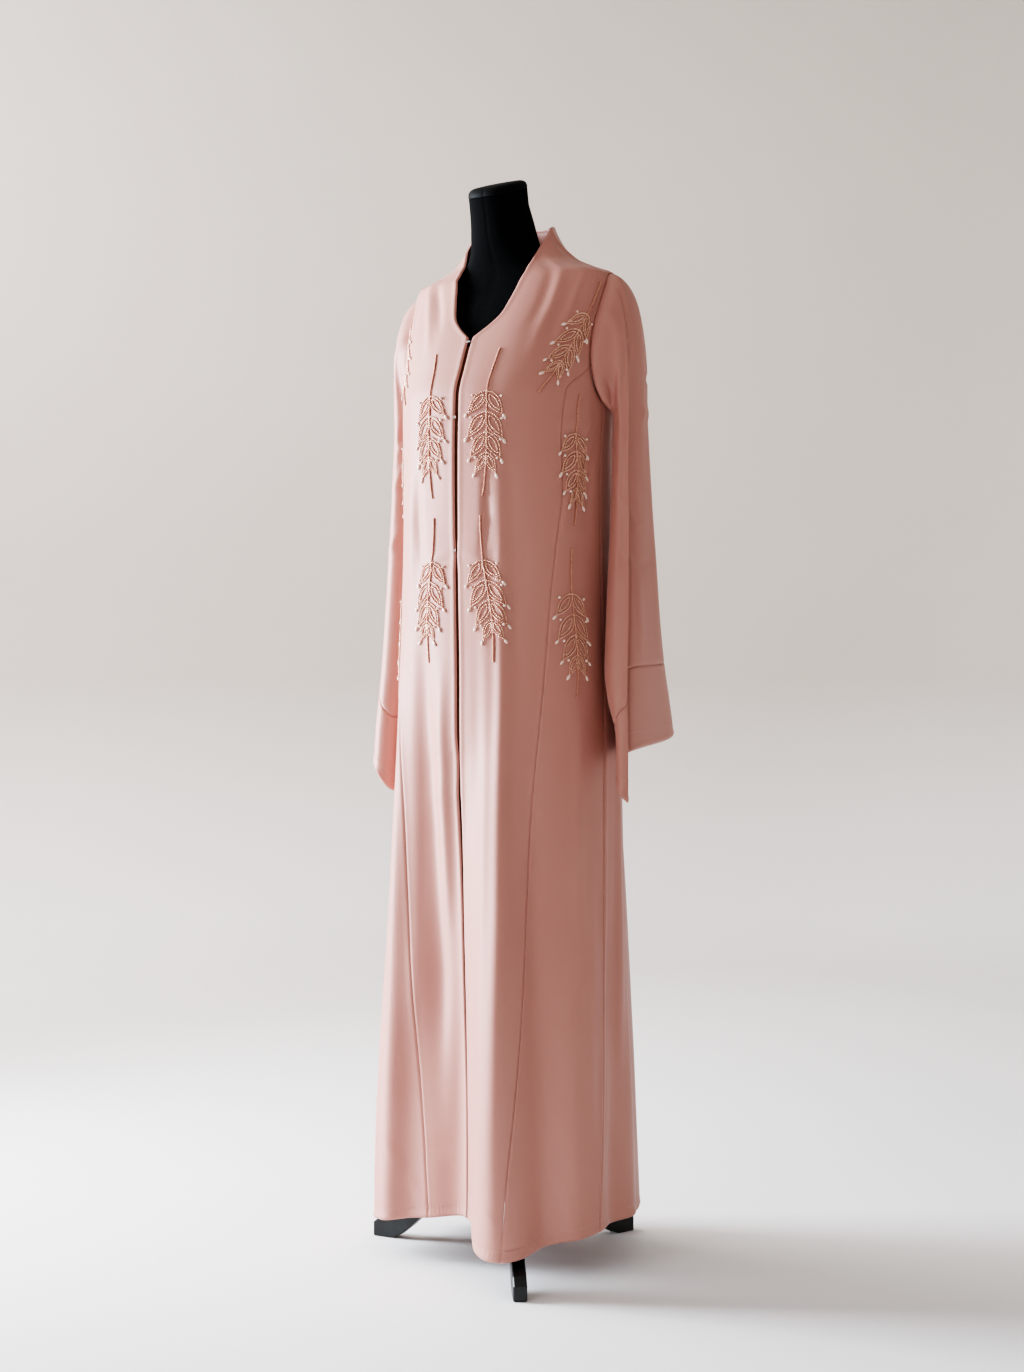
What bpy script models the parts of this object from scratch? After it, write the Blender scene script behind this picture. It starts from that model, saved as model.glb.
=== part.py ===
"""An open-front abaya cloak worn by a black limbless dress form on a three-legged stand.

Metres, +Z up, floor at z = 0. The garment faces -Y and the wearer's left is +X. Azimuths are
in degrees round a ring of the body: 0 at the centre front, 90 at the wearer's left side seam,
180 at the centre back, and negative on the wearer's right.
"""

import math

import bmesh
import bpy
import numpy as np

CLOTH = 0.0015  # wall of the cloth, two layers of crepe
SEAM_GAP = 0.0004  # between two pieces that are sewn together
SQUARENESS = 2.3  # power of the rings' rounded outline: 2 is an ellipse

# Where the pole stands in the floor plan.
POLE_X = 0.0
POLE_Y = -0.008

# Rings of the garment's body: height, half width, how far the front and the back stand from
# the pole, and how far behind the pole the ring is widest.
BODY = (
    # height, half_width, front, back, middle
    (0.030, 0.197, 0.136, 0.172, 0.004),
    (0.240, 0.191, 0.138, 0.164, 0.003),
    (0.390, 0.185, 0.140, 0.158, 0.002),
    (0.620, 0.177, 0.142, 0.150, 0.002),
    (0.860, 0.172, 0.142, 0.144, 0.004),
    (1.060, 0.163, 0.1465, 0.132, 0.004),
    (1.220, 0.161, 0.1475, 0.127, 0.006),
    (1.300, 0.164, 0.1450, 0.128, 0.010),
    (1.347, 0.168, 0.1280, 0.127, 0.013),
    (1.400, 0.172, 0.1040, 0.122, 0.016),
    (1.440, 0.175, 0.0820, 0.115, 0.018),
    (1.470, 0.174, 0.0670, 0.108, 0.019),
    (1.490, 0.169, 0.0575, 0.103, 0.018),
    (1.504, 0.138, 0.0480, 0.098, 0.018),
    (1.520, 0.106, 0.0365, 0.092, 0.018),
    (1.550, 0.077, 0.0300, 0.083, 0.012),
    (1.586, 0.060, 0.0300, 0.069, 0.006),
)

# Folds of the skirt: the azimuth of each crest where it starts and at the hem, the heights
# where it starts and is full, its half width in degrees, how far it stands out at the hem,
# and how broad its crest is.
FOLDS = (
    # azimuth_top, azimuth_hem, starts, full, half_width, stands_out, breadth
    (22.0, 20.5, 1.230, 0.060, 12.3, 0.068, 2.7),
    (8.0, 7.0, 1.000, 0.200, 5.0, -0.008, 2.0),
    (53.0, 53.0, 0.900, 0.060, 9.0, 0.009, 1.8),
    (90.0, 90.0, 0.800, 0.060, 16.0, -0.020, 1.8),
    (-26.0, -28.0, 1.200, 0.500, 12.0, -0.008, 1.7),
    (-50.0, -52.0, 1.150, 0.060, 14.0, 0.026, 1.7),
    (-82.0, -80.0, 0.900, 0.100, 12.0, -0.006, 1.7),
    (118.0, 120.0, 0.900, 0.100, 13.0, 0.004, 1.7),
    (-118.0, -120.0, 0.900, 0.100, 14.0, 0.012, 1.7),
    (152.0, 150.0, 1.050, 0.150, 13.0, 0.018, 1.7),
    (-150.0, -154.0, 1.000, 0.150, 12.0, 0.016, 1.7),
    (176.0, 178.0, 0.950, 0.200, 12.0, -0.010, 1.7),
)
FOLD_GROWTH = 1.4  # a fold grows slowly at first on its way down

# Height of the hem at each azimuth.
HEM = (
    # azimuth, height
    (-180.0, 0.062),
    (-110.0, 0.055),
    (-60.0, 0.050),
    (-30.0, 0.066),
    (0.0, 0.080),
    (7.0, 0.074),
    (12.0, 0.052),
    (20.0, 0.050),
    (30.0, 0.051),
    (41.0, 0.060),
    (51.0, 0.066),
    (72.0, 0.070),
    (95.0, 0.071),
    (180.0, 0.062),
)
HEM_BENDS_BELOW = 0.40  # above this height the rows of a panel are level
HEM_LEVEL = 0.05  # the level that follows the hem

# The collar's edge: its height at each azimuth, mirrored on the wearer's right.
NECKLINE = (
    # azimuth, height
    (0.0, 1.391),
    (7.4, 1.410),
    (11.7, 1.426),
    (15.2, 1.456),
    (18.7, 1.488),
    (31.5, 1.519),
    (60.0, 1.551),
    (122.0, 1.580),
    (180.0, 1.585),
)
SHOULDER_TIP = 1.490  # where the shoulder seam meets the sleeve

# Armhole: an oval in height and azimuth, centred on the side seam's azimuth.
ARMHOLE_Z = 1.396
ARMHOLE_HALF_HEIGHT = 0.094
ARMHOLE_FRONT = 21.0
ARMHOLE_BACK = 22.0
UNDERARM = ARMHOLE_Z - ARMHOLE_HALF_HEIGHT

# Seams down the skirt: azimuth of each at a height.
PRINCESS = (
    # height, azimuth
    (0.05, 23.0),
    (0.16, 25.0),
    (0.235, 27.0),
    (0.39, 31.0),
    (0.57, 35.0),
    (0.70, 38.0),
    (0.855, 43.8),
    (0.99, 49.5),
    (1.075, 53.8),
    (1.17, 58.3),
    (1.245, 57.5),
    (1.305, 58.5),
    (1.345, 72.2),
)
SIDE_SEAM = (
    # height, azimuth
    (0.05, 70.0),
    (0.24, 77.0),
    (0.39, 80.0),
    (0.62, 83.0),
    (1.10, 88.0),
    (1.31, 90.0),
)

# Half the width of the front opening at a height.
FRONT_GAP = (
    # height, half_width
    (0.05, 0.0008),
    (0.78, 0.0009),
    (0.83, 0.0022),
    (1.06, 0.0012),
    (1.12, 0.0022),
    (1.391, 0.0030),
)

# Heights of the rows of a panel, hem to collar; those from the underarm to the shoulder tip
# are the heights of the armhole's corners too.
SKIRT_LEVELS = (0.05, 0.085, 0.16, 0.27, 0.40, 0.54, 0.68, 0.80, 0.92, 1.03, 1.13, 1.21, 1.27)
ARMHOLE_STEPS = 7
COLLAR_LEVELS = (1.497, 1.508, 1.522, 1.537, 1.551, 1.562)
BACK_COLLAR_LEVELS = (1.497, 1.5115, 1.530, 1.550, 1.569, 1.5845)
FRONT_CELLS = 12
SIDE_CELLS = 8
BACK_CELLS = 18

# Rings of each sleeve below the cap: height, where the inner and outer faces stand from the
# pole, where the front and back edges stand, the depth of the tuck behind the front outer
# edge, and where the inner front edge stands.
SLEEVE_LEFT = (
    # height, inner, outer, front, back, tuck, lip
    (0.700, 0.1850, 0.2330, -0.052, 0.124, 0.026, 0.208),
    (0.800, 0.1800, 0.2310, -0.048, 0.118, 0.026, 0.203),
    (0.850, 0.1780, 0.2290, -0.046, 0.108, 0.024, 0.187),
    (0.900, 0.1760, 0.2260, -0.040, 0.098, 0.022, 0.1785),
    (1.000, 0.1750, 0.2200, -0.026, 0.088, 0.016, 0.177),
    (1.120, 0.1750, 0.2120, -0.010, 0.080, 0.010, 0.1765),
    (1.260, 0.1755, 0.2060, 0.000, 0.073, 0.005, 0.177),
)
SLEEVE_RIGHT = (
    # height, inner, outer, front, back, tuck, lip
    (0.700, 0.1830, 0.2220, -0.058, 0.110, 0.016, 0.184),
    (0.800, 0.1800, 0.2200, -0.052, 0.104, 0.016, 0.182),
    (0.900, 0.1770, 0.2170, -0.040, 0.096, 0.014, 0.179),
    (1.000, 0.1760, 0.2140, -0.032, 0.088, 0.012, 0.178),
    (1.120, 0.1755, 0.2110, -0.024, 0.080, 0.009, 0.1775),
    (1.260, 0.1760, 0.2080, -0.018, 0.072, 0.005, 0.1775),
)
TUCK_STEP = 0.0065  # from the front face back to the layer under it
SLEEVE_LEVELS = (1.26, 1.19, 1.12, 1.05, 0.98)
CAP_STEPS = 4
CAP_REACH = 0.045
CAP_DROP = 0.12
SLEEVE_GAP = 0.0012  # from the armhole's edge to the sleeve

# The cuff's seam and hem hang lower at the front edge than at the back: height of each at
# each of the sleeve's sixteen corners, counted from the inner front edge.
CUFF_LEFT = (
    # corner, seam, hem
    (0.0, 0.832, 0.748),
    (1.0, 0.813, 0.732),
    (2.0, 0.832, 0.712),
    (3.0, 0.846, 0.702),
    (4.0, 0.872, 0.740),
    (5.0, 0.892, 0.770),
    (6.0, 0.899, 0.777),
    (8.0, 0.903, 0.788),
    (10.0, 0.907, 0.798),
    (12.0, 0.892, 0.792),
    (16.0, 0.832, 0.748),
)
CUFF_RIGHT = (
    # corner, seam, hem
    (0.0, 0.822, 0.704),
    (1.0, 0.824, 0.712),
    (2.0, 0.840, 0.732),
    (3.0, 0.858, 0.752),
    (4.0, 0.874, 0.764),
    (6.0, 0.896, 0.780),
    (8.0, 0.902, 0.788),
    (10.0, 0.905, 0.794),
    (12.0, 0.880, 0.765),
    (16.0, 0.822, 0.704),
)
CUFF_STEPS = 3
SEAM_AT_CUFF = 0.0007

# Underlap behind the front opening.
UNDERLAP_HALF_WIDTH = 0.016
UNDERLAP_BEHIND = 0.0035
UNDERLAP_TOP = 1.380
UNDERLAP_BOTTOM = 0.775

# Fasteners at the front edges: height, side of the opening and radius.
HOOK_Z = 1.383
SNAP_HEIGHTS = (("snap_upper", 1.268), ("snap_lower", 1.072))
SNAP_RADIUS = 0.0028
SNAP_THICK = 0.0016
SNAP_OFF_CLOTH = 0.0004

# Rings of the dress form's torso, as for the body of the garment.
TORSO = (
    # height, half_width, front, back, middle
    (0.790, 0.060, 0.050, 0.060, 0.004),
    (0.795, 0.110, 0.080, 0.092, 0.004),
    (0.810, 0.140, 0.100, 0.116, 0.004),
    (0.870, 0.152, 0.108, 0.126, 0.004),
    (0.960, 0.146, 0.104, 0.118, 0.004),
    (1.070, 0.120, 0.090, 0.092, 0.004),
    (1.180, 0.132, 0.108, 0.100, 0.006),
    (1.270, 0.146, 0.132, 0.112, 0.008),
    (1.330, 0.150, 0.120, 0.114, 0.012),
    (1.390, 0.150, 0.094, 0.108, 0.015),
    (1.440, 0.149, 0.070, 0.098, 0.016),
    (1.470, 0.143, 0.052, 0.088, 0.016),
    (1.490, 0.124, 0.044, 0.076, 0.016),
    (1.505, 0.094, 0.040, 0.064, 0.012),
    (1.520, 0.068, 0.046, 0.052, 0.000),
    (1.545, 0.052, 0.058, 0.042, -0.010),
    (1.580, 0.0465, 0.066, 0.028, -0.018),
    (1.605, 0.0440, 0.072, 0.014, -0.027),
)
TORSO_SIDES = 28
CAP_SLOPE = 0.34  # rise of the cap for each metre towards the back
CAP_FRONT_Z = 1.608
CAP_HEIGHT = 0.010
CAP_LEAN = 0.20  # how far the neck leans forward for each metre of rise

# Stand.
POLE_RADIUS = 0.0125
POLE_BOTTOM = 0.150
HUB_RADIUS = 0.030
HUB_BOTTOM = 0.085
HUB_TOP = 0.149
LEG_THICK = 0.020
LEG_AZIMUTHS = (("stand_leg_front", 36.0), ("stand_leg_back", 156.0), ("stand_leg_right", 276.0))
# Side outline of a leg: distance from the pole, and heights of its lower and upper edges.
LEG_OUTLINE = (
    # distance, lower, upper
    (0.0303, 0.092, 0.142),
    (0.060, 0.090, 0.136),
    (0.100, 0.073, 0.116),
    (0.140, 0.048, 0.088),
    (0.170, 0.020, 0.058),
    (0.188, 0.006, 0.046),
    (0.205, 0.000, 0.040),
    (0.222, 0.000, 0.033),
    (0.2350, 0.000, 0.022),
)


def along(rows, at):
    """The other columns of a table at `at` of its first one, on curves that never overshoot."""
    table = np.asarray(rows, float)
    keys, values = table[:, 0], table[:, 1:]
    at = np.clip(np.asarray(at, float), keys[0], keys[-1])
    steps = np.diff(keys)[:, None]
    slopes = np.diff(values, axis=0) / steps
    product = slopes[:-1] * slopes[1:]
    total = slopes[:-1] + slopes[1:]
    inner = np.where(product > 0, 2 * product / np.where(total == 0, 1, total), 0)
    tangents = np.vstack([slopes[:1], inner, slopes[-1:]])
    i = np.clip(np.searchsorted(keys, at, side="right") - 1, 0, len(keys) - 2)
    step = steps[i]
    t = ((at - keys[i])[..., None]) / step
    return (
        (2 * t**3 - 3 * t**2 + 1) * values[i]
        + (t**3 - 2 * t**2 + t) * step * tangents[i]
        + (3 * t**2 - 2 * t**3) * values[i + 1]
        + (t**3 - t**2) * step * tangents[i + 1]
    )


def ease(t):
    t = np.clip(t, 0, 1)
    return t * t * (3 - 2 * t)


def turned(azimuth):
    """The azimuth brought between -180 and 180 degrees."""
    return (np.asarray(azimuth, float) + 180) % 360 - 180


def ring(rows, azimuth, height):
    """Points on the rounded rings of a table, and the directions in which they stand out."""
    width, front, back, middle = np.moveaxis(along(rows, height), -1, 0)
    angle = np.radians(azimuth)
    across, ahead = np.sin(angle), np.cos(angle)
    reach = (abs(across) ** SQUARENESS + abs(ahead) ** SQUARENESS) ** (-1 / SQUARENESS)
    depth = np.where(ahead > 0, front + middle, back - middle)
    x = width * across * reach
    y = middle - depth * ahead * reach
    out = np.stack([across, -ahead, 0 * across], -1)
    return np.stack([x, y, height + 0 * x], -1), out


def fold_height(azimuth, height):
    """How far the skirt's folds stand out of its ring."""
    total = 0
    for top, hem, starts, full, half_width, stands_out, breadth in FOLDS:
        share = ease((starts - height) / (starts - full)) ** FOLD_GROWTH
        centre = top + (hem - top) * ease((starts - height) / (starts - HEM_LEVEL))
        off = turned(azimuth - centre) / half_width
        total = total + stands_out * share * np.exp(-(abs(off) ** breadth))
    return total


def body_point(azimuth, height):
    azimuth, height = np.broadcast_arrays(np.asarray(azimuth, float), np.asarray(height, float))
    point, out = ring(BODY, azimuth, height)
    return point + out * fold_height(azimuth, height)[..., None]


def body_normal(azimuth, height):
    """The outward direction square to the cloth."""
    turn, rise = 0.5, 0.002
    around = body_point(azimuth + turn, height) - body_point(azimuth - turn, height)
    upward = body_point(azimuth, height + rise) - body_point(azimuth, height - rise)
    normal = np.cross(around, upward)
    return normal / np.linalg.norm(normal, axis=-1, keepdims=True)


def on_floor_plan(points):
    return points + np.array([POLE_X, POLE_Y, 0.0])


def link(name, mesh, material):
    item = bpy.data.objects.new(name, mesh)
    item.data.materials.append(material)
    bpy.context.collection.objects.link(item)
    return item


def wall(name, outer, inner, material, tube=False):
    """A closed wall between two grids of points; a tube's columns join end to end."""
    rows, columns = outer.shape[:2]
    count = rows * columns
    points = on_floor_plan(np.concatenate([outer.reshape(-1, 3), inner.reshape(-1, 3)]))
    faces = []
    last = columns if tube else columns - 1
    for i in range(rows - 1):
        for j in range(last):
            k = (j + 1) % columns
            a, b = i * columns + j, i * columns + k
            c, d = a + columns, b + columns
            for face in ((a, b, d), (a, d, c)):
                faces.append(face)
                faces.append(tuple(count + corner for corner in reversed(face)))
    rims = [(0, j, 0, (j + 1) % columns) for j in range(last)]
    rims += [(rows - 1, (j + 1) % columns, rows - 1, j) for j in range(last)]
    if not tube:
        rims += [(i + 1, 0, i, 0) for i in range(rows - 1)]
        rims += [(i, columns - 1, i + 1, columns - 1) for i in range(rows - 1)]
    for i, j, m, n in rims:
        a, b = i * columns + j, m * columns + n
        faces.append((b, a, count + a, count + b))
    mesh = bpy.data.meshes.new(name)
    mesh.from_pydata(points.tolist(), [], faces)
    shape = bmesh.new()
    shape.from_mesh(mesh)
    bmesh.ops.recalc_face_normals(shape, faces=shape.faces)
    shape.to_mesh(mesh)
    shape.free()
    mesh.shade_smooth()
    mesh.set_sharp_from_angle(angle=math.radians(50))
    return link(name, mesh, material)


def panel(name, azimuth, height, material):
    """A panel of the body from grids of azimuths and heights."""
    outer = body_point(azimuth, height)
    return wall(name, outer, outer - body_normal(azimuth, height) * CLOTH, material)


def armhole_heights():
    turns = np.linspace(-90, 90, ARMHOLE_STEPS + 1)
    return ARMHOLE_Z + ARMHOLE_HALF_HEIGHT * np.sin(np.radians(turns))


def armhole_azimuth(height, reach):
    """Azimuth of the armhole's edge, `reach` degrees from the side seam at its widest."""
    off = np.clip((height - ARMHOLE_Z) / ARMHOLE_HALF_HEIGHT, -1, 1)
    return 90 - reach * np.sqrt(1 - off**2)


def level_height(level, azimuth):
    """Height of a level of the panels, which bends to the hem near the floor."""
    hem = along(HEM, turned(azimuth))[..., 0]
    share = (level - HEM_LEVEL) / (HEM_BENDS_BELOW - HEM_LEVEL)
    return np.where(level < HEM_BENDS_BELOW, hem + share * (HEM_BENDS_BELOW - hem), level)


def degrees_of(width, azimuth, height):
    """How many degrees of azimuth a width along the cloth takes there."""
    a, b = body_point(azimuth - 0.5, height), body_point(azimuth + 0.5, height)
    return width / np.linalg.norm(a - b, axis=-1)


def front_edge(height):
    """Azimuth of the edge of a front: the opening's edge, then the neckline."""
    edge = np.asarray(NECKLINE)
    neckline = np.interp(height, edge[:, 1], edge[:, 0])
    gap = along(FRONT_GAP, height)[..., 0]
    return np.maximum(neckline, 0) + degrees_of(gap, 0.0, height)


def front_outer_edge(height):
    """Azimuth of the princess seam, then the armhole, then the shoulder seam."""
    princess = along(PRINCESS, height)[..., 0]
    armhole = armhole_azimuth(height, ARMHOLE_FRONT)
    edge = np.where(height <= PRINCESS[-1][0], princess, armhole)
    return np.where(height >= SHOULDER_TIP, 90.0, edge)


def front_panel(name, side, material):
    armhole = armhole_heights()
    joint = PRINCESS[-1][0]
    upper = [z for z in armhole if z > joint + 0.012]
    levels = np.array([*SKIRT_LEVELS, UNDERARM, joint, *upper, *COLLAR_LEVELS])
    share = np.linspace(0, 1, FRONT_CELLS + 1)[None, :]
    level = levels[:, None]
    low, high = front_edge(level), front_outer_edge(level)
    high = high - degrees_of(SEAM_GAP / 2, high, level)
    azimuth = side * (low + (high - low) * share)
    return panel(name, azimuth, level_height(level, azimuth), material)


def side_panel(name, side, material):
    """The strip between the princess seam and the side seam, up to the armhole."""
    share = np.linspace(0, 1, SIDE_CELLS + 1)[None, :]
    joint = PRINCESS[-1][0]
    top_low = PRINCESS[-1][1]
    top = top_low + (90 - top_low) * share
    off = np.clip((90 - top) / ARMHOLE_FRONT, 0, 1)
    top_z = ARMHOLE_Z - ARMHOLE_HALF_HEIGHT * np.sqrt(1 - off**2) - SEAM_GAP
    levels = np.array([*SKIRT_LEVELS, 1.285])[:, None]
    low, high = along(PRINCESS, levels)[..., 0], along(SIDE_SEAM, levels)[..., 0]
    half = SEAM_GAP / 2
    low = low + degrees_of(half, low, levels)
    high = high - degrees_of(half, high, levels)
    azimuth = side * (low + (high - low) * share)
    height = level_height(levels, azimuth)
    top_z = np.minimum(top_z, joint)
    low_top = along(PRINCESS, top_z[:, :1])[..., 0] + degrees_of(half, 65.0, 1.33)
    high_top = 90 - degrees_of(half, 90.0, UNDERARM)
    azimuth = np.vstack([azimuth, side * (low_top + (high_top - low_top) * share)])
    return panel(name, azimuth, np.vstack([height, top_z]), material)


def back_panel(name, material):
    levels = np.array([*SKIRT_LEVELS, *armhole_heights(), *BACK_COLLAR_LEVELS])[:, None]
    half = SEAM_GAP / 2
    seam = along(SIDE_SEAM, levels)[..., 0]
    edge = np.where(levels > UNDERARM, 180 - armhole_azimuth(levels, ARMHOLE_BACK), seam)
    edge = np.where(levels >= SHOULDER_TIP, 90.0, edge)
    edge = edge + degrees_of(half, edge, levels)
    share = np.linspace(0, 1, BACK_CELLS + 1)[None, :]
    azimuth = edge + (360 - 2 * edge) * share
    rim = along(NECKLINE, np.minimum(azimuth % 360, 360 - azimuth % 360))[..., 0] - 0.0005
    height = level_height(levels, azimuth)
    first = len(levels) - len(BACK_COLLAR_LEVELS)
    base = COLLAR_LEVELS[0]
    grown = (levels[first:] - base) / (BACK_COLLAR_LEVELS[-1] - base)
    height[first:] = base + grown * (rim[first:] - base)
    return panel(name, azimuth, height, material)


def sleeve_corners(rows, height):
    """The sixteen corners of a sleeve's ring at a height: front face, tuck, outer face, back
    edge and inner face."""
    inner, outer, front, back, tuck, lip = along(rows, height)
    width, length = outer - inner, back - front
    step = TUCK_STEP * ease(tuck / 0.02)
    face = outer - lip
    corners = (
        (lip, front + 0.10 * length),
        (lip + 0.25 * face, front),
        (lip + 0.62 * face, front + 0.001),
        (outer, front + 0.006),
        (outer - tuck * 0.55, front + 0.006 + 0.45 * step),
        (outer - tuck * 0.50, front + 0.008 + step),
        (outer - 0.0015, front + 0.012 + 1.5 * step),
        (outer + 0.0030, front + 0.34 * length),
        (outer + 0.0040, front + 0.62 * length),
        (outer + 0.0010, front + 0.86 * length),
        (outer - 0.22 * width, back),
        (inner + 0.42 * width, back - 0.01 * length),
        (inner + 0.16 * width, front + 0.84 * length),
        (inner, front + 0.62 * length),
        (inner, front + 0.42 * length),
        (inner + 0.5 * (lip - inner), front + 0.24 * length),
    )
    return np.array([(x, y, height) for x, y in corners])


# Where each corner of the ring meets the armhole: degrees round it from its front, upwards.
LOOP_ANGLES = (
    (-25.7, 0.0, 25.7, 51.4, 64.3, 72.0, 81.0, 90.0)
    + (128.6, 154.3, 180.0, 205.7, 231.4, 257.1, 270.0, 308.6)
)


def armhole_point(angle):
    """A point of the armhole, and the direction in which the sleeve leaves it."""
    turn = math.radians(angle)
    reach = ARMHOLE_FRONT if math.cos(turn) > 0 else ARMHOLE_BACK
    azimuth = 90 - reach * math.cos(turn)
    height = ARMHOLE_Z + ARMHOLE_HALF_HEIGHT * math.sin(turn)
    point = body_point(azimuth, height)
    up = math.sin(turn)
    lean = np.array([1.0, -0.35 * math.cos(turn), 0.25 * up - 0.45])
    if up < 0:
        lean += up * np.array([0.75, 0.0, 0.35])
    return point, lean / np.linalg.norm(lean)


def cap_rings(rows):
    """Rings from the armhole over the cap to the top of the sleeve's tube."""
    tube = sleeve_corners(rows, SLEEVE_LEVELS[0])
    rings = []
    for t in np.linspace(0, 1, CAP_STEPS + 1)[:-1]:
        ring_points = []
        for corner, angle in zip(tube, LOOP_ANGLES):
            start, lean = armhole_point(angle)
            start = start + lean * SLEEVE_GAP
            drop = start[2] - corner[2]
            reach = CAP_REACH * (0.25 + 0.75 * drop / (2 * ARMHOLE_HALF_HEIGHT))
            a = start + lean * reach
            b = corner + np.array([0, 0, min(CAP_DROP, 0.62 * drop)])
            s = 1 - t
            ring_points.append(s**3 * start + 3 * s * s * t * a + 3 * s * t * t * b + t**3 * corner)
        rings.append(ring_points)
    return np.array(rings)


def ring_normals(grid):
    """Outward directions of a tube's grid whose columns run front, outer side, back, inner."""
    around = np.roll(grid, -1, axis=1) - np.roll(grid, 1, axis=1)
    down = np.gradient(grid, axis=0)
    normal = np.cross(down, around)
    return normal / np.linalg.norm(normal, axis=-1, keepdims=True)


def mirrored(grid, side):
    return grid * np.array([side, 1.0, 1.0])


def tube_wall(name, outer, inner, side, material):
    wall(name, mirrored(outer, side), mirrored(inner, side), material, tube=True)


def hanging_ring(rows, heights):
    """A ring of the sleeve whose corners hang at their own heights."""
    return np.array([sleeve_corners(rows, z)[c] for c, z in enumerate(heights)])


def sleeve_and_cuff(label, side, rows, cuff, cloth):
    seam, hem = along(cuff, np.arange(len(LOOP_ANGLES))).T
    tube = [sleeve_corners(rows, level) for level in SLEEVE_LEVELS]
    steps = np.linspace(0, 1, CUFF_STEPS + 1)
    ends = [hanging_ring(rows, seam + (hem - seam) * t) for t in steps]
    outer = np.concatenate([cap_rings(rows), tube, ends])
    inner = outer - ring_normals(outer) * CLOTH
    last = CAP_STEPS + len(tube)
    along_seam = np.roll(ends[0], -1, axis=0) - np.roll(ends[0], 1, axis=0)
    steepness = along_seam[:, 2] / np.hypot(along_seam[:, 0], along_seam[:, 1])
    gap = np.zeros((len(LOOP_ANGLES), 3))
    gap[:, 2] = SEAM_AT_CUFF * np.minimum(np.hypot(1.0, steepness), 5.0)
    upper = [np.concatenate([grid[:last], grid[last : last + 1] + gap]) for grid in (outer, inner)]
    tube_wall(f"sleeve_{label}", *upper, side, cloth)
    tube_wall(f"cuff_{label}", outer[last:], inner[last:], side, cloth)


def underlap(material):
    levels = np.linspace(UNDERLAP_BOTTOM, UNDERLAP_TOP, 14)[:, None]
    across = np.linspace(-1, 1, 5)[None, :]
    azimuth = across * degrees_of(UNDERLAP_HALF_WIDTH, 0.0, levels)
    height = levels + 0 * azimuth
    normal = body_normal(azimuth, height)
    outer = body_point(azimuth, height) - normal * UNDERLAP_BEHIND
    return wall("underlap", outer, outer - normal * CLOTH, material)


def disc(name, centre, facing, radius, thick, material, sides=16):
    mesh = bpy.data.meshes.new(name)
    shape = bmesh.new()
    bmesh.ops.create_cone(
        shape, cap_ends=True, segments=sides, radius1=radius, radius2=radius * 0.72, depth=thick
    )
    shape.to_mesh(mesh)
    shape.free()
    item = link(name, mesh, material)
    item.location = on_floor_plan(centre)
    item.rotation_euler = facing
    return item


def fasteners(steel):
    """Two snap studs at the edge of the wearer's right front and a hook at the neckline."""
    facing = (math.radians(90), 0, 0)
    for name, height in SNAP_HEIGHTS:
        azimuth = -degrees_of(SNAP_RADIUS * 0.9, 0.0, height)
        normal = body_normal(azimuth, height)
        lift = SNAP_OFF_CLOTH + SNAP_THICK / 2 + 0.0004
        disc(name, body_point(azimuth, height) + normal * lift, facing, SNAP_RADIUS, SNAP_THICK, steel)
    normal = body_normal(0.0, HOOK_Z)
    centre = body_point(0.0, HOOK_Z) + normal * 0.0022
    mesh = bpy.data.meshes.new("hook_top")
    shape = bmesh.new()
    bmesh.ops.create_cube(shape, size=1.0)
    bmesh.ops.scale(shape, vec=(0.0075, 0.0012, 0.0028), verts=shape.verts)
    bmesh.ops.bevel(shape, geom=shape.edges[:], offset=0.0004, segments=1, affect="EDGES")
    shape.to_mesh(mesh)
    shape.free()
    item = link("hook_top", mesh, steel)
    item.location = on_floor_plan(centre)
    slope = math.atan2(float(normal[2]), float(-normal[1]))
    item.rotation_euler = (-slope, 0, 0)


def torso(material):
    """The dress form's closed torso and neck, cut off on the slant under its cap."""
    heights = np.array([row[0] for row in TORSO])
    azimuths = np.arange(TORSO_SIDES) * 360 / TORSO_SIDES
    grid, _ = ring(TORSO, azimuths[None, :], heights[:, None] + 0 * azimuths[None, :])
    rows = list(grid)
    rows.append(slanted(rows[-1], -0.0003))
    solid_of_rings("form_torso", rows, material)
    low = slanted(grid[-1], 0.0)
    high = slanted(grid[-1], CAP_HEIGHT * 0.7)
    centre = high.mean(axis=0)
    top = centre + (high - centre) * 0.93 + np.array([0, 0, CAP_HEIGHT * 0.3])
    solid_of_rings("form_cap", [low, high, top], material)


def slanted(points, lift):
    """The ring of the neck carried up to the cap's slanted plane."""
    points = points.copy()
    front = points[:, 1].min()
    rise = CAP_FRONT_Z + (points[:, 1] - front) * CAP_SLOPE + lift - points[:, 2]
    points[:, 2] += rise
    points[:, 1] -= rise * CAP_LEAN
    return points


def solid_of_rings(name, rows, material):
    sides = len(rows[0])
    points = on_floor_plan(np.concatenate(rows))
    faces = [tuple(range(sides)), tuple(reversed(range((len(rows) - 1) * sides, len(rows) * sides)))]
    for i in range(len(rows) - 1):
        for j in range(sides):
            k = (j + 1) % sides
            faces.append((i * sides + j, (i + 1) * sides + j, (i + 1) * sides + k, i * sides + k))
    mesh = bpy.data.meshes.new(name)
    mesh.from_pydata(points.tolist(), [], faces)
    shape = bmesh.new()
    shape.from_mesh(mesh)
    bmesh.ops.recalc_face_normals(shape, faces=shape.faces)
    shape.to_mesh(mesh)
    shape.free()
    mesh.shade_smooth()
    mesh.set_sharp_from_angle(angle=math.radians(40))
    return link(name, mesh, material)


def turned_rings(radii_and_heights, sides=24):
    angles = np.arange(sides) * 2 * np.pi / sides
    return [
        np.stack([r * np.cos(angles), r * np.sin(angles), z + 0 * angles], -1)
        for r, z in radii_and_heights
    ]


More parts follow.
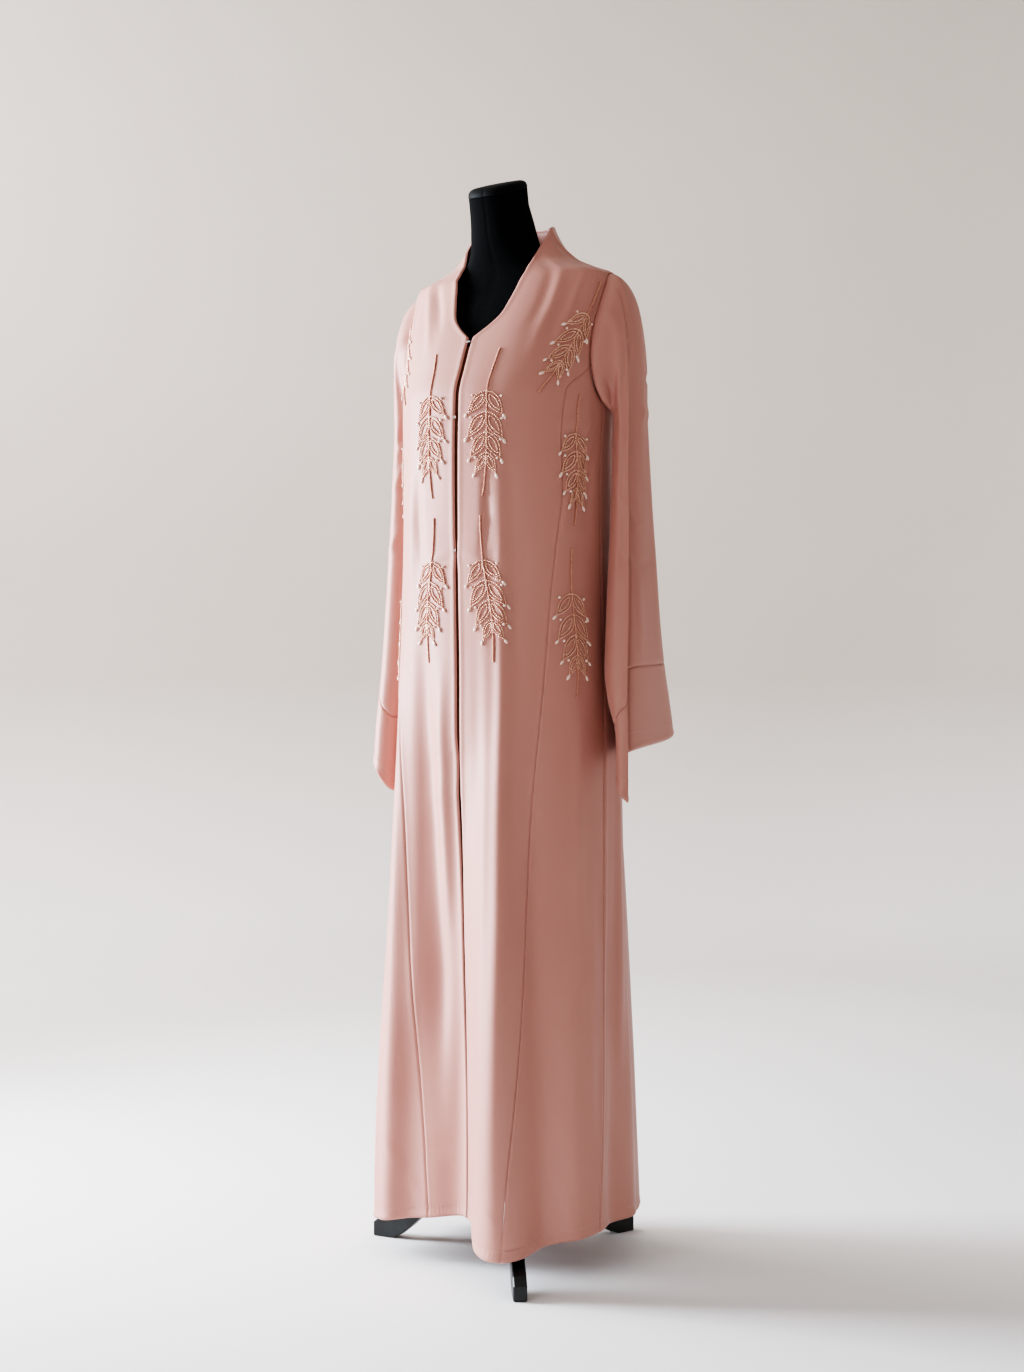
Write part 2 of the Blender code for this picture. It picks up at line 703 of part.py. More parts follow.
def stand(wood):
    pole_top = TORSO[0][0] - 0.0004
    solid_of_rings("stand_pole", turned_rings(((POLE_RADIUS, POLE_BOTTOM), (POLE_RADIUS, pole_top))), wood)
    waist = HUB_RADIUS * 0.8
    profile = (
        (waist, HUB_BOTTOM),
        (HUB_RADIUS, HUB_BOTTOM + 0.006),
        (HUB_RADIUS, HUB_TOP - 0.012),
        (waist, HUB_TOP),
    )
    solid_of_rings("stand_hub", turned_rings(profile), wood)
    for name, azimuth in LEG_AZIMUTHS:
        leg(name, azimuth, wood)


def leg(name, azimuth, wood):
    """One arched board of the stand, from the hub to its flat foot."""
    turn = math.radians(azimuth)
    outward = np.array([math.sin(turn), -math.cos(turn), 0.0])
    across = np.array([math.cos(turn), math.sin(turn), 0.0])
    rows = []
    for reach, low, high in LEG_OUTLINE:
        half = LEG_THICK / 2
        corners = ((-half, low), (half, low), (half, high), (-half, high))
        rows.append(np.array([outward * reach + across * w + np.array([0, 0, z]) for w, z in corners]))
    item = solid_of_rings(name, rows, wood)
    edges = item.modifiers.new("Rounded edges", "BEVEL")
    edges.width = 0.0015
    edges.segments = 1
    edges.angle_limit = math.radians(50)


def material(name, colour, roughness, metallic=0.0, sheen=0.0):
    made = bpy.data.materials.new(name)
    made.use_nodes = True
    shader = made.node_tree.nodes["Principled BSDF"]
    shader.inputs["Base Color"].default_value = (*colour, 1)
    shader.inputs["Roughness"].default_value = roughness
    shader.inputs["Metallic"].default_value = metallic
    shader.inputs["Sheen Weight"].default_value = sheen
    return made


def main():
    for item in list(bpy.data.objects):
        bpy.data.objects.remove(item)
    crepe = material("pink_crepe", (0.62, 0.36, 0.33), 0.5, sheen=0.3)
    jersey = material("black_jersey", (0.008, 0.009, 0.009), 0.8)
    wood = material("black_wood", (0.01, 0.011, 0.011), 0.45)
    steel = material("steel", (0.7, 0.7, 0.72), 0.3, metallic=1.0)
    for label, side in (("left", 1), ("right", -1)):
        front_panel(f"front_{label}", side, crepe)
        side_panel(f"side_front_{label}", side, crepe)
    sleeve_and_cuff("left", 1, SLEEVE_LEFT, CUFF_LEFT, crepe)
    sleeve_and_cuff("right", -1, SLEEVE_RIGHT, CUFF_RIGHT, crepe)
    back_panel("back", crepe)
    underlap(crepe)
    fasteners(steel)
    torso(jersey)
    stand(wood)


main()
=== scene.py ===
"""The looks of an open-front abaya cloak on a black dress form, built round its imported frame.

Metres, +Z up, floor at z = 0. The garment faces -Y and the wearer's left is +X. Azimuths are
in degrees round a ring of the body: 0 at the centre front, 90 at the wearer's left side seam,
180 at the centre back, and negative on the wearer's right.
"""

import math

import bpy
import numpy as np
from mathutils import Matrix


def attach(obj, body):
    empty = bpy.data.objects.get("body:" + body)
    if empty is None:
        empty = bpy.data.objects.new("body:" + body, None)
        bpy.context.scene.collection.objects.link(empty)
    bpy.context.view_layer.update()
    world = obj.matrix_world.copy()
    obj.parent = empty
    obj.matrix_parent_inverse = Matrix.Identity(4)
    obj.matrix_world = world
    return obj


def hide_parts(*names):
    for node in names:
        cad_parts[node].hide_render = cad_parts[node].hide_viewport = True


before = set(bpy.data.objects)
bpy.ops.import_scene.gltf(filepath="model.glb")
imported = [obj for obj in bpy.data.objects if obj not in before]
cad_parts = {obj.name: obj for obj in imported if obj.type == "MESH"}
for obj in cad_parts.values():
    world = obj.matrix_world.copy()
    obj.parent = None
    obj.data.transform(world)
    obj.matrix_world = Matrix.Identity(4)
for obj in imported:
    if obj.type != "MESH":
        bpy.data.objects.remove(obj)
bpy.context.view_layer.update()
MM = 1000  # millimetres in a metre, where a table has them

# ---- sizes of the garment
POLE = np.array([0.0, -0.008, 0.0])  # where the pole stands in the floor plan
SQUARENESS = 2.3  # power of the rings' rounded outline: 2 is an ellipse

CLOTH = 0.0010  # one layer of crepe with its facing
CELL = 0.0055  # side of a cell in the cloth's meshes
SEAM_GAP = 0.00016  # between two pieces that are sewn together

# Rings of the garment's body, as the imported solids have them, in millimetres.
BODY = np.array((
    # height, half_width, front, back, middle
    (30, 197, 136, 172, 4),
    (240, 191, 138, 164, 3),
    (390, 185, 140, 158, 2),
    (620, 177, 142, 150, 2),
    (860, 172, 142, 144, 4),
    (1060, 163, 146.5, 132, 4),
    (1220, 161, 147.5, 127, 6),
    (1300, 164, 145, 128, 10),
    (1347, 168, 128, 127, 13),
    (1400, 172, 104, 122, 16),
    (1440, 175, 82, 115, 18),
    (1470, 174, 67, 108, 19),
    (1490, 169, 57.5, 103, 18),
    (1504, 138, 48, 98, 18),
    (1520, 106, 36.5, 92, 18),
    (1550, 77, 30, 83, 12),
    (1586, 60, 30, 69, 6),
)) / MM

# Folds of the skirt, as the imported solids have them.
FOLDS = (
    # azimuth_top, azimuth_hem, starts, full, half_width, stands_out, breadth
    (22, 20.5, 1.23, 0.06, 12.3, 0.068, 2.7),
    (8, 7, 1, 0.2, 5, -0.008, 2),
    (53, 53, 0.9, 0.06, 9, 0.009, 1.8),
    (90, 90, 0.8, 0.06, 16, -0.02, 1.8),
    (-26, -28, 1.2, 0.5, 12, -0.008, 1.7),
    (-50, -52, 1.15, 0.06, 14, 0.026, 1.7),
    (-82, -80, 0.9, 0.1, 12, -0.006, 1.7),
    (118, 120, 0.9, 0.1, 13, 0.004, 1.7),
    (-118, -120, 0.9, 0.1, 14, 0.012, 1.7),
    (152, 150, 1.05, 0.15, 13, 0.018, 1.7),
    (-150, -154, 1, 0.15, 12, 0.016, 1.7),
    (176, 178, 0.95, 0.2, 12, -0.01, 1.7),
)
FOLD_GROWTH = 1.4  # a fold grows slowly at first on its way down

HEM = (  # azimuth, height
    (-180, 0.062), (-110, 0.055), (-60, 0.05), (-30, 0.066), (0, 0.08), (7, 0.074), (12, 0.052),
    (20, 0.05), (30, 0.051), (41, 0.06), (51, 0.066), (72, 0.07), (95, 0.071), (180, 0.062),
)
HEM_BENDS_BELOW = 0.40  # above this height the rows of a panel are level
HEM_LEVEL = 0.05  # the level that follows the hem

NECKLINE = (  # azimuth, height
    (0, 1.391), (7.4, 1.41), (11.7, 1.426), (15.2, 1.456), (18.7, 1.488), (31.5, 1.519), (60, 1.551),
    (122, 1.58), (180, 1.585),
)
SHOULDER_TIP = 1.490  # where the shoulder seam meets the sleeve
FRONT_TOP = 1.564  # where the neckline meets the shoulder seam

ARMHOLE_Z = 1.396  # middle of the armhole, which is an oval
ARMHOLE_HALF_HEIGHT = 0.094
ARMHOLE_FRONT = 21.0  # degrees from the side seam to the oval's front
ARMHOLE_BACK = 22.0  # and to its back
UNDERARM = ARMHOLE_Z - ARMHOLE_HALF_HEIGHT

PRINCESS = (  # height, azimuth
    (0.05, 23), (0.16, 25), (0.235, 27), (0.39, 31), (0.57, 35), (0.7, 38), (0.855, 43.8), (0.99, 49.5),
    (1.075, 53.8), (1.17, 58.3), (1.245, 57.5), (1.305, 58.5), (1.345, 72.2),
)
PRINCESS_TOP = PRINCESS[-1][0]
SIDE_SEAM = ((0.05, 70), (0.24, 77), (0.39, 80), (0.62, 83), (1.1, 88), (1.31, 90))
FRONT_GAP = (  # height, half_width
    (0.05, 0.0017), (0.7, 0.0019), (0.762, 0.0008), (0.8, 0.0024), (1.04, 0.0022), (1.065, 0.0009),
    (1.095, 0.0024), (1.391, 0.003),
)

# Rings of the sleeves below their caps, in millimetres, and the cuffs' seams and hems.
SLEEVE_LEFT = np.array((
    # height, inner, outer, front, back, tuck, lip
    (700, 185, 233, -52, 124, 26, 208),
    (800, 180, 231, -48, 118, 26, 203),
    (850, 178, 229, -46, 108, 24, 187),
    (900, 176, 226, -40, 98, 22, 178.5),
    (1000, 175, 220, -26, 88, 16, 177),
    (1120, 175, 212, -10, 80, 10, 176.5),
    (1260, 175.5, 206, 0, 73, 5, 177),
)) / MM
SLEEVE_RIGHT = np.array((
    # height, inner, outer, front, back, tuck, lip
    (700, 183, 222, -58, 110, 16, 184),
    (800, 180, 220, -52, 104, 16, 182),
    (900, 177, 217, -40, 96, 14, 179),
    (1000, 176, 214, -32, 88, 12, 178),
    (1120, 175.5, 211, -24, 80, 9, 177.5),
    (1260, 176, 208, -18, 72, 5, 177.5),
)) / MM
TUCK_STEP = 0.0065  # from the front face back to the layer under it
FULL_TUCK = 0.02  # a tuck this wide has the whole step
TUBE_TOP = 1.26  # below this height the sleeve is a free tube
CAP_REACH = 0.045  # how far the cap leaves the armhole before it turns down
CAP_DROP = 0.12  # how far above the tube it is already upright
SLEEVE_GAP = 0.0004  # from the armhole to the sleeve's first free row
TUCK = ((0.0024, -0.0035), (0.0019, 0.0002))  # depth under the body's cloth, step to the side
TUCKED_ROWS = len(TUCK)  # rows of the sleeve's edge that lie there
CAP_ROWS = 33
TUBE_ROWS = 72
CUFF_ROWS = 24
POINTS_A_CORNER = 7
CUFF_STITCH_ROW = -8  # the row of the cuff that carries its stitches
CORNERS = 16  # corners of a sleeve's ring
LOOP_ANGLES = (  # corner, angle round the armhole
    (0, -25.7), (1, 0), (2, 25.7), (3, 51.4), (4, 64.3), (5, 72), (6, 81), (7, 90), (8, 128.6),
    (9, 154.3), (10, 180), (11, 205.7), (12, 231.4), (13, 257.1), (14, 270), (15, 308.6), (16, 334.3),
)
CUFF_LEFT = (  # corner, seam, hem
    (0, 0.832, 0.748), (1, 0.813, 0.732), (2, 0.832, 0.712), (3, 0.846, 0.702), (4, 0.872, 0.74),
    (5, 0.892, 0.77), (6, 0.899, 0.777), (8, 0.903, 0.788), (10, 0.907, 0.798), (12, 0.892, 0.792),
    (16, 0.832, 0.748),
)
CUFF_RIGHT = (  # corner, seam, hem
    (0, 0.822, 0.704), (1, 0.824, 0.712), (2, 0.84, 0.732), (3, 0.858, 0.752), (4, 0.874, 0.764),
    (6, 0.896, 0.78), (8, 0.902, 0.788), (10, 0.905, 0.794), (12, 0.88, 0.765), (16, 0.822, 0.704),
)

# ---- creases listed one by one
# Their lengths are in millimetres. An end that lies outside the cloth makes the crease run
# out over its edge.
DEGREE = 0.0029  # metres round the body for one degree, near enough everywhere
CREASES = (
    # half width, how far it stands out, then the azimuth and height of each of its points
    # from the neck and shoulder down over the chest
    (8.5, 2, 46, 1518, 41, 1480, 38, 1410, 35, 1345),
    (7, -1.2, 36, 1510, 34, 1455, 31, 1395),
    (6.5, 1.9, 58, 1500, 52, 1458, 48, 1400, 46, 1350),
    (7, -1.6, 70, 1490, 66, 1430, 63, 1375),
    (8, 3.4, -46, 1510, -38, 1468, -31, 1420, -26, 1370),
    (6, -2.2, -36, 1500, -27, 1448, -21, 1405),
    (7.5, 2.6, -58, 1500, -53, 1440, -49, 1380),
    # from the underarms to the bust and the waist
    (7, 2.2, 78, 1290, 66, 1262, 54, 1250),
    (8, 2.8, 80, 1275, 70, 1225, 62, 1160, 58, 1090),
    (8, -2.6, 84, 1262, 78, 1190, 74, 1110),
    (8.5, 2.6, -80, 1285, -68, 1235, -58, 1180),
    (9, -2.4, -84, 1260, -76, 1170, -70, 1080),
    # beside the front opening, where the snaps pull
    (4.5, 1.2, 3, 1268, 14, 1262, 24, 1248),
    (4.5, 1.2, -3, 1268, -13, 1258, -22, 1240),
    (4.5, 1.2, 3, 1072, 13, 1058, 22, 1030),
    (4.5, 1.4, -3, 1072, -14, 1060, -23, 1036),
    # short soft folds at the waist, between the sprigs
    (8, -3.4, -27, 1200, -27, 1120, -24, 1040),
    (8.5, 2.6, -35, 1190, -34, 1100, -33, 1000),
    (6.5, -3.4, 17.5, 1190, 18, 1120, 15.5, 1060),
    (9, -1.6, 37, 1160, 37, 1060, 36, 960),
    # the crest of the main fold, and the hollow behind it
    (8.8, 6.2, 25, 1240, 25, 1050, 23.6, 780, 23, 540, 21, 260, 20, -60),
    (9, -2.8, 32, 1180, 32, 980, 31, 780, 30.5, 520),
    # long soft folds of the skirt
    (9, 4, -10.5, 900, -10, 720, -11, 520),
    (18, -14, -24, 980, -23, 800, -22, 620, -20, 440, -20, 180),
    (12.5, 10, -44, 940, -42, 640, -41, 320, -41, 60, -41, -250),
    (16, -3, -30, 420, -31, 280, -31, 100, -31, -200),
    (44, -30, -7, 735, -7, 560, -7, 320, -7, 100, -7, -450),
    (18, 12, 7, 740, 7, 560, 6.5, 320, 6, 100, 6, -450),
    (8.5, -2.6, 12, 980, 12, 760, 11.5, 450, 10.5, 120),
    (9, 1.8, 30, 1000, 31, 800, 31, 560),
    (9, -2, 40, 700, 38, 520, 36, 300),
    (10, 2.2, 64, 860, 62, 600, 60, 300),
    (8, 1.8, 73, 620, 69, 400, 65, 160),
    # the facing's edge inside the right front, and small wrinkles near the hem
    (1.6, 0.9, -29, 627, -16, 631, -3, 632),
    (1.6, -0.6, -27, 622, -15, 626, -3, 627),
    (3.5, 1.4, -44, 196, -39, 166, -36, 132),
    (3, 1.2, -32, 128, -28, 98, -22, 94),
    (4, 1.3, 16, 130, 22, 104, 28, 108),
    (4, 1.4, 44, 170, 50, 120, 52, 90),
    # the ridges behind the side seams
    (4.5, 1.6, 91, 1060, 86, 702, 81.5, 408, 73, 90),
    (4.5, 2.6, -91, 1040, -86, 702, -81.5, 408, -73, 90),
    # the back: from the shoulder blades and the armholes, then long folds
    (10, 5, 128, 1485, 136, 1400, 140, 1290),
    (8, -3.6, 146, 1490, 150, 1420, 152, 1330),
    (11, 5.3, -124, 1490, -133, 1410, -138, 1300),
    (8, -3.4, -150, 1500, -156, 1430, -158, 1340),
    (10, 5, 106, 1300, 122, 1225, 136, 1190),
    (10, -4.2, 108, 1270, 120, 1170, 126, 1080),
    (10, 4.8, -105, 1300, -120, 1235, -134, 1205),
    (11, -4.2, -107, 1265, -116, 1160, -121, 1060),
    (15, 8, 168, 1150, 170, 900, 168, 500, 167, -150),
    (16, 9, -170, 1120, -168, 860, -170, 440, -171, -100),
    (15, 7.8, 140, 1050, 138, 800, 136, 400, 134, -200),
    (15, 8.6, -138, 1060, -136, 780, -138, 420, -140, -150),
    (14, -6.5, 154, 1000, 155, 700, 152, 300, 150, -200),
    (15, -7.5, -153, 940, -154, 640, -155, 280, -156, -200),
    (14, -5.8, 120, 900, 119, 560, 118, 100, 118, -250),
    (14, -6.6, -119, 860, -118, 500, -120, 100, -121, -250),
    (10, 4.2, 104, 900, 102, 620, 100, 260),
    (10, 3.9, -102, 920, -101, 600, -99, 240),
    (4.5, 1.6, 158, 210, 163, 150, 161, 100),
    (4.5, 1.6, -144, 230, -148, 160, -146, 100),
)

CORNER_WIDTH = 0.018  # metres round a sleeve for one corner of its ring, near enough
SLEEVE_RADIUS = 0.05  # of the circle on which a sleeve's slight waves are laid
PLAIN_BELT = 0.02  # creases grow to their full height this far from the armhole
SLEEVE_CREASES_LEFT = (
    # half width, how far it stands out, then the corner and height of each of its points
    (6, 3.2, 1.6, 1455, 2.2, 1400, 2, 1340, 1.5, 1280),
    (5.5, -2.4, 3.4, 1470, 3.2, 1420, 3.4, 1350),
    (6, 2.4, 4.6, 1475, 4.4, 1400, 4.5, 1320),
    (5, -3, 15.2, 1345, 0.2, 1320, 0.9, 1290),
    (5.5, 2.4, 15.6, 1300, 0.6, 1262, 1.4, 1225),
    # the pressed folds beside the tuck
    (2.2, 1.4, 2.7, 1450, 2.9, 1340, 3, 1150, 3, 860),
    (2.4, 1.4, 4.2, 1470, 3.9, 1400, 3.3, 1310),
    (6, -2.2, 2.2, 1420, 2.2, 1250, 2.2, 1000, 2.2, 800),
    (5.5, 1.8, 0.6, 1190, 1.8, 1150, 3, 1130),
    (6, -1.6, 1.2, 1090, 2.4, 1060, 3.6, 1050),
    (6, 1.8, 5, 1140, 6.6, 1110, 8.2, 1120),
    (6.5, -1.6, 5.4, 1080, 7, 1050, 8.6, 1066),
    (8, 2, 7.4, 1420, 7.6, 1300, 7.4, 1180),
    (8, 2, 8.6, 1240, 8.9, 1080, 8.6, 930),
    (6, 1.6, 6.7, 1040, 6.9, 960, 6.8, 900),
    (7, -2.6, 9, 1440, 9.4, 1360, 9.2, 1270),
    (6.5, 2.6, 10.4, 1340, 11.4, 1290, 12.6, 1265),
    (6.5, 2.2, 12.6, 1180, 11.6, 1120, 10.6, 1100),
)
SLEEVE_CREASES_RIGHT = (
    (6.5, 3, 1.4, 1450, 2.1, 1390, 1.9, 1310),
    (6, -2.4, 3.6, 1470, 3.3, 1410, 3.6, 1330),
    (7, 2.6, 5.2, 1475, 5, 1400, 5.2, 1310),
    (6, -2.4, 0.3, 1310, 1.5, 1262, 2.8, 1240),
    (6, 2.2, 0.6, 1240, 1.9, 1190, 3.1, 1176),
    (6, 1.8, 1, 1130, 2.3, 1090, 3.6, 1080),
    (6.5, 2, 5.4, 1170, 6.9, 1130, 8.4, 1140),
    (6.5, -1.6, 5.8, 1060, 7.2, 1030, 8.8, 1046),
    (8.5, 2.2, 8.4, 1300, 8.8, 1120, 8.4, 950),
    (7, -2.6, 9, 1440, 9.5, 1360, 9.3, 1270),
    (6.5, 2.6, 10.3, 1340, 11.5, 1285, 12.6, 1262),
)


# ---- the form of the garment
def along(rows, at):
    """The other columns of a table at `at` of its first one, on curves that never overshoot."""
    table = np.asarray(rows, float)
    keys, values = table[:, 0], table[:, 1:]
    at = np.clip(np.asarray(at, float), keys[0], keys[-1])
    steps = np.diff(keys)[:, None]
    slopes = np.diff(values, axis=0) / steps
    product = slopes[:-1] * slopes[1:]
    total = slopes[:-1] + slopes[1:]
    inner = np.where(product > 0, 2 * product / np.where(total == 0, 1, total), 0)
    tangents = np.vstack([slopes[:1], inner, slopes[-1:]])
    i = np.clip(np.searchsorted(keys, at, side="right") - 1, 0, len(keys) - 2)
    step = steps[i]
    t = ((at - keys[i])[..., None]) / step
    return (
        (2 * t**3 - 3 * t**2 + 1) * values[i]
        + (t**3 - 2 * t**2 + t) * step * tangents[i]
        + (3 * t**2 - 2 * t**3) * values[i + 1]
        + (t**3 - t**2) * step * tangents[i + 1]
    )


def ease(t):
    t = np.clip(t, 0, 1)
    return t * t * (3 - 2 * t)


def bell(off, width):
    """A smooth bump: 1 in its middle, a third of that one width away."""
    return np.exp(-((off / width) ** 2))


def turned(azimuth):
    """The azimuth brought between -180 and 180 degrees."""
    return (np.asarray(azimuth, float) + 180) % 360 - 180


def ring(rows, azimuth, height):
    """Points on the rounded rings of a table, and the directions in which they stand out."""
    width, front, back, middle = np.moveaxis(along(rows, height), -1, 0)
    angle = np.radians(azimuth)
    across, ahead = np.sin(angle), np.cos(angle)
    reach = (abs(across) ** SQUARENESS + abs(ahead) ** SQUARENESS) ** (-1 / SQUARENESS)
    depth = np.where(ahead > 0, front + middle, back - middle)
    x = width * across * reach
    y = middle - depth * ahead * reach
    out = np.stack([across, -ahead, 0 * across], -1)
    return np.stack([x, y, height + 0 * x], -1), out


def fold_height(azimuth, height):
    """How far the skirt's folds stand out of its ring."""
    total = 0
    for top, hem, starts, full, half_width, stands_out, breadth in FOLDS:
        share = ease((starts - height) / (starts - full)) ** FOLD_GROWTH
        centre = top + (hem - top) * ease((starts - height) / (starts - HEM_LEVEL))
        off = turned(azimuth - centre) / half_width
        total = total + stands_out * share * np.exp(-(abs(off) ** breadth))
    return total


def body_point(azimuth, height):
    azimuth, height = np.broadcast_arrays(np.asarray(azimuth, float), np.asarray(height, float))
    point, out = ring(BODY, azimuth, height)
    return POLE + point + out * fold_height(azimuth, height)[..., None]


def unit(vectors):
    return vectors / np.linalg.norm(vectors, axis=-1, keepdims=True)


def flattened(vectors, normals):
    """The directions of vectors once they are laid flat on a surface."""
    return unit(vectors - normals * (vectors * normals).sum(-1, keepdims=True))


def body_normal(azimuth, height):
    """The outward direction square to the cloth."""
    turn, rise = 0.4, 0.0015
    around = body_point(azimuth + turn, height) - body_point(azimuth - turn, height)
    upward = body_point(azimuth, height + rise) - body_point(azimuth, height - rise)
    return unit(np.cross(around, upward))


CREASE_FADE = 0.7  # below 1, a crease keeps its height nearer to its ends
CREASE_DIP = 0.35  # how deep the cloth dips on both sides of it


def crease_field(creases, across, height, scale, wraps):
    """How far creases lift the cloth. One unit across is `scale` metres, and `wraps` are a turn."""
    lift = np.zeros(np.broadcast(across, height).shape)
    for half_width, crest, *points in creases:
        line = np.reshape(points, (-1, 2)) / (1, MM)
        nearest = np.full(lift.shape, np.inf)
        share = np.zeros(lift.shape)
        lengths = np.hypot(*(np.diff(line, axis=0) * (scale, 1)).T)
        walked = 0.0
        for a, b, length in zip(line[:-1], line[1:], lengths):
            off = (across - a[0] + wraps / 2) % wraps - wraps / 2
            dx, dz = off * scale, height - a[1]
            step = (b - a) * (scale, 1) / length
            t = np.clip(dx * step[0] + dz * step[1], 0, length)
            distance = np.hypot(dx - t * step[0], dz - t * step[1])
            closer = distance < nearest
            nearest = np.where(closer, distance, nearest)
            share = np.where(closer, (walked + t) / lengths.sum(), share)
            walked += length
        # it fades towards both ends, and dips a little on both sides
        fade = np.sin(np.pi * np.clip(share, 0.02, 0.98)) ** CREASE_FADE
        reach = (nearest / (half_width / MM)) ** 2
        lift += crest / MM * fade * (1 - CREASE_DIP * reach) * np.exp(-0.5 * reach)
    return lift


WAVES = 14  # sine waves in an undulation
USUAL_WAVE = 0.08  # a wave this long has the full rise
BODY_RISE, SLEEVE_RISE = 0.0006, 0.0005


def undulation(across, height, seed, rise):
    """Slight uneven waves, longer down the cloth than across it."""
    random = np.random.default_rng(seed)
    total = 0
    for _ in range(WAVES):
        wave = random.uniform(0.035, 0.13)
        tilt = random.uniform(-0.30, 0.30)
        phase = random.uniform(0, 2 * np.pi)
        waves = np.sin(2 * np.pi * (across + tilt * height) / wave + phase)
        total = total + waves * wave / USUAL_WAVE
    return rise * total / math.sqrt(WAVES)


PUCKER = 0.00035  # the hem's stitching puckers the cloth by this,
PUCKER_HEIGHT = 0.012  # at this height above the hem
PUCKER_SPREAD = 0.008  # and over this much to each side


def value_at(rows, at):
    """The second column of a table of two columns."""
    return along(rows, at)[..., 0]


def hem_height(azimuth):
    return value_at(HEM, turned(azimuth))


def body_lift(azimuth, height):
    """Everything that lifts the cloth off its plain form: creases, waves and puckers."""
    lift = crease_field(CREASES, azimuth, height, DEGREE, 360)
    lift += undulation(turned(azimuth) * DEGREE, height, 5, BODY_RISE)
    above = height - hem_height(azimuth)
    pucker = PUCKER * bell(above - PUCKER_HEIGHT, PUCKER_SPREAD)
    return lift + pucker * np.sin(azimuth * 9.3 + 2.0 * np.sin(azimuth * 0.71))


def armhole_azimuth(height, reach):
    """Azimuth of the armhole's edge, `reach` degrees from the side seam at its widest."""
    off = np.clip((height - ARMHOLE_Z) / ARMHOLE_HALF_HEIGHT, -1, 1)
    return 90 - reach * np.sqrt(1 - off**2)


def level_height(level, azimuth):
    """Height of a level of the panels, which bends to the hem near the floor."""
    hem = hem_height(azimuth)
    share = (level - HEM_LEVEL) / (HEM_BENDS_BELOW - HEM_LEVEL)
    return np.where(level < HEM_BENDS_BELOW, hem + share * (HEM_BENDS_BELOW - hem), level)


def degrees_of(width, azimuth, height):
    """How many degrees of azimuth a width along the cloth takes there."""
    a, b = body_point(azimuth - 0.5, height), body_point(azimuth + 0.5, height)
    return width / np.linalg.norm(a - b, axis=-1)


def front_edge(height):
    """Azimuth of the edge of a front: the opening's edge, then the neckline."""
    edge = np.asarray(NECKLINE)[:, ::-1]
    return value_at(edge, height) + degrees_of(value_at(FRONT_GAP, height), 0.0, height)


def front_outer_edge(height):
    """Azimuth of the princess seam, then the armhole, then the shoulder seam."""
    armhole = armhole_azimuth(height, ARMHOLE_FRONT)
    edge = np.where(height <= PRINCESS_TOP, value_at(PRINCESS, height), armhole)
    return np.where(height >= SHOULDER_TIP, 90.0, edge)


def steps_between(low, high, cell=CELL):
    return np.linspace(low, high, max(2, round((high - low) / cell) + 1))


HEM_ROWS = np.array([0.0010, 0.0022, 0.0038])  # extra rows, just above the hem
ARMHOLE_ROWS = 46


def skirt_levels(top):
    """Levels of a panel's rows from the hem up to `top`."""
    return np.sort(np.concatenate([steps_between(HEM_LEVEL, top), HEM_LEVEL + HEM_ROWS]))


def armhole_levels(low):
    """Heights up the armhole from `low`, closer together towards the shoulder tip."""
    start = math.asin((low - ARMHOLE_Z) / ARMHOLE_HALF_HEIGHT)
    turns = np.linspace(start, math.pi / 2, ARMHOLE_ROWS)
    return ARMHOLE_Z + ARMHOLE_HALF_HEIGHT * np.sin(turns)


# ---- meshes
def placed(name, data):
    """A new object with this data, in the scene."""
    item = bpy.data.objects.new(name, data)
    bpy.context.scene.collection.objects.link(item)
    return item


def new_object(name, points, faces, material):
    mesh = bpy.data.meshes.new(name)
    mesh.from_pydata(np.asarray(points).tolist(), [], faces)
    mesh.materials.append(material)
    mesh.validate()
    mesh.shade_smooth()
    return placed(name, mesh)


def grid_normals(grid, tube=False):
    """Directions square to a grid of points, by the right-hand rule of rows and columns."""
    if tube:
        around = np.roll(grid, -1, axis=1) - np.roll(grid, 1, axis=1)
    else:
        around = np.gradient(grid, axis=1)
    return unit(np.cross(around, np.gradient(grid, axis=0)) + 1e-15)


def grid_faces(rows, columns, tube, start=0, flipped=False):
    """Quads over a grid of points; a tube's last column meets its first."""
    last = columns if tube else columns - 1
    i, j = np.meshgrid(np.arange(rows - 1), np.arange(last), indexing="ij")
    k = (j + 1) % columns
    here, above = i * columns, (i + 1) * columns
    quads = np.stack([here + j, here + k, above + k, above + j], -1).reshape(-1, 4) + start
    return (quads[:, ::-1] if flipped else quads).tolist()


def rim_faces(loop, count):
    """Quads across the cut edge, from the outer layer to the inner one."""
    pairs = zip(loop.tolist(), np.roll(loop, -1).tolist())
    return [[b, a, a + count, b + count] for a, b in pairs]


def cloth(name, outer, outward, material, tube=False):
    """A thin closed shell whose outer layer is a grid of points."""
    rows, columns = outer.shape[:2]
    normals = grid_normals(outer, tube)
    side = np.sign((normals * outward).sum())
    inner = outer - normals * side * CLOTH
    count = rows * columns
    index = np.arange(count).reshape(rows, columns)
    flipped = side < 0
    faces = grid_faces(rows, columns, tube, 0, flipped)
    faces += grid_faces(rows, columns, tube, count, not flipped)
    if tube:
        rims = rim_faces(index[0], count) + rim_faces(index[-1][::-1], count)
    else:
        edge = np.concatenate([index[0], index[1:, -1], index[-1, -2::-1], index[-2:0:-1, 0]])
        rims = rim_faces(edge, count)
    faces += [face[::-1] for face in rims] if flipped else rims
    points = np.concatenate([outer.reshape(-1, 3), inner.reshape(-1, 3)])
    return new_object(name, points, faces, material)


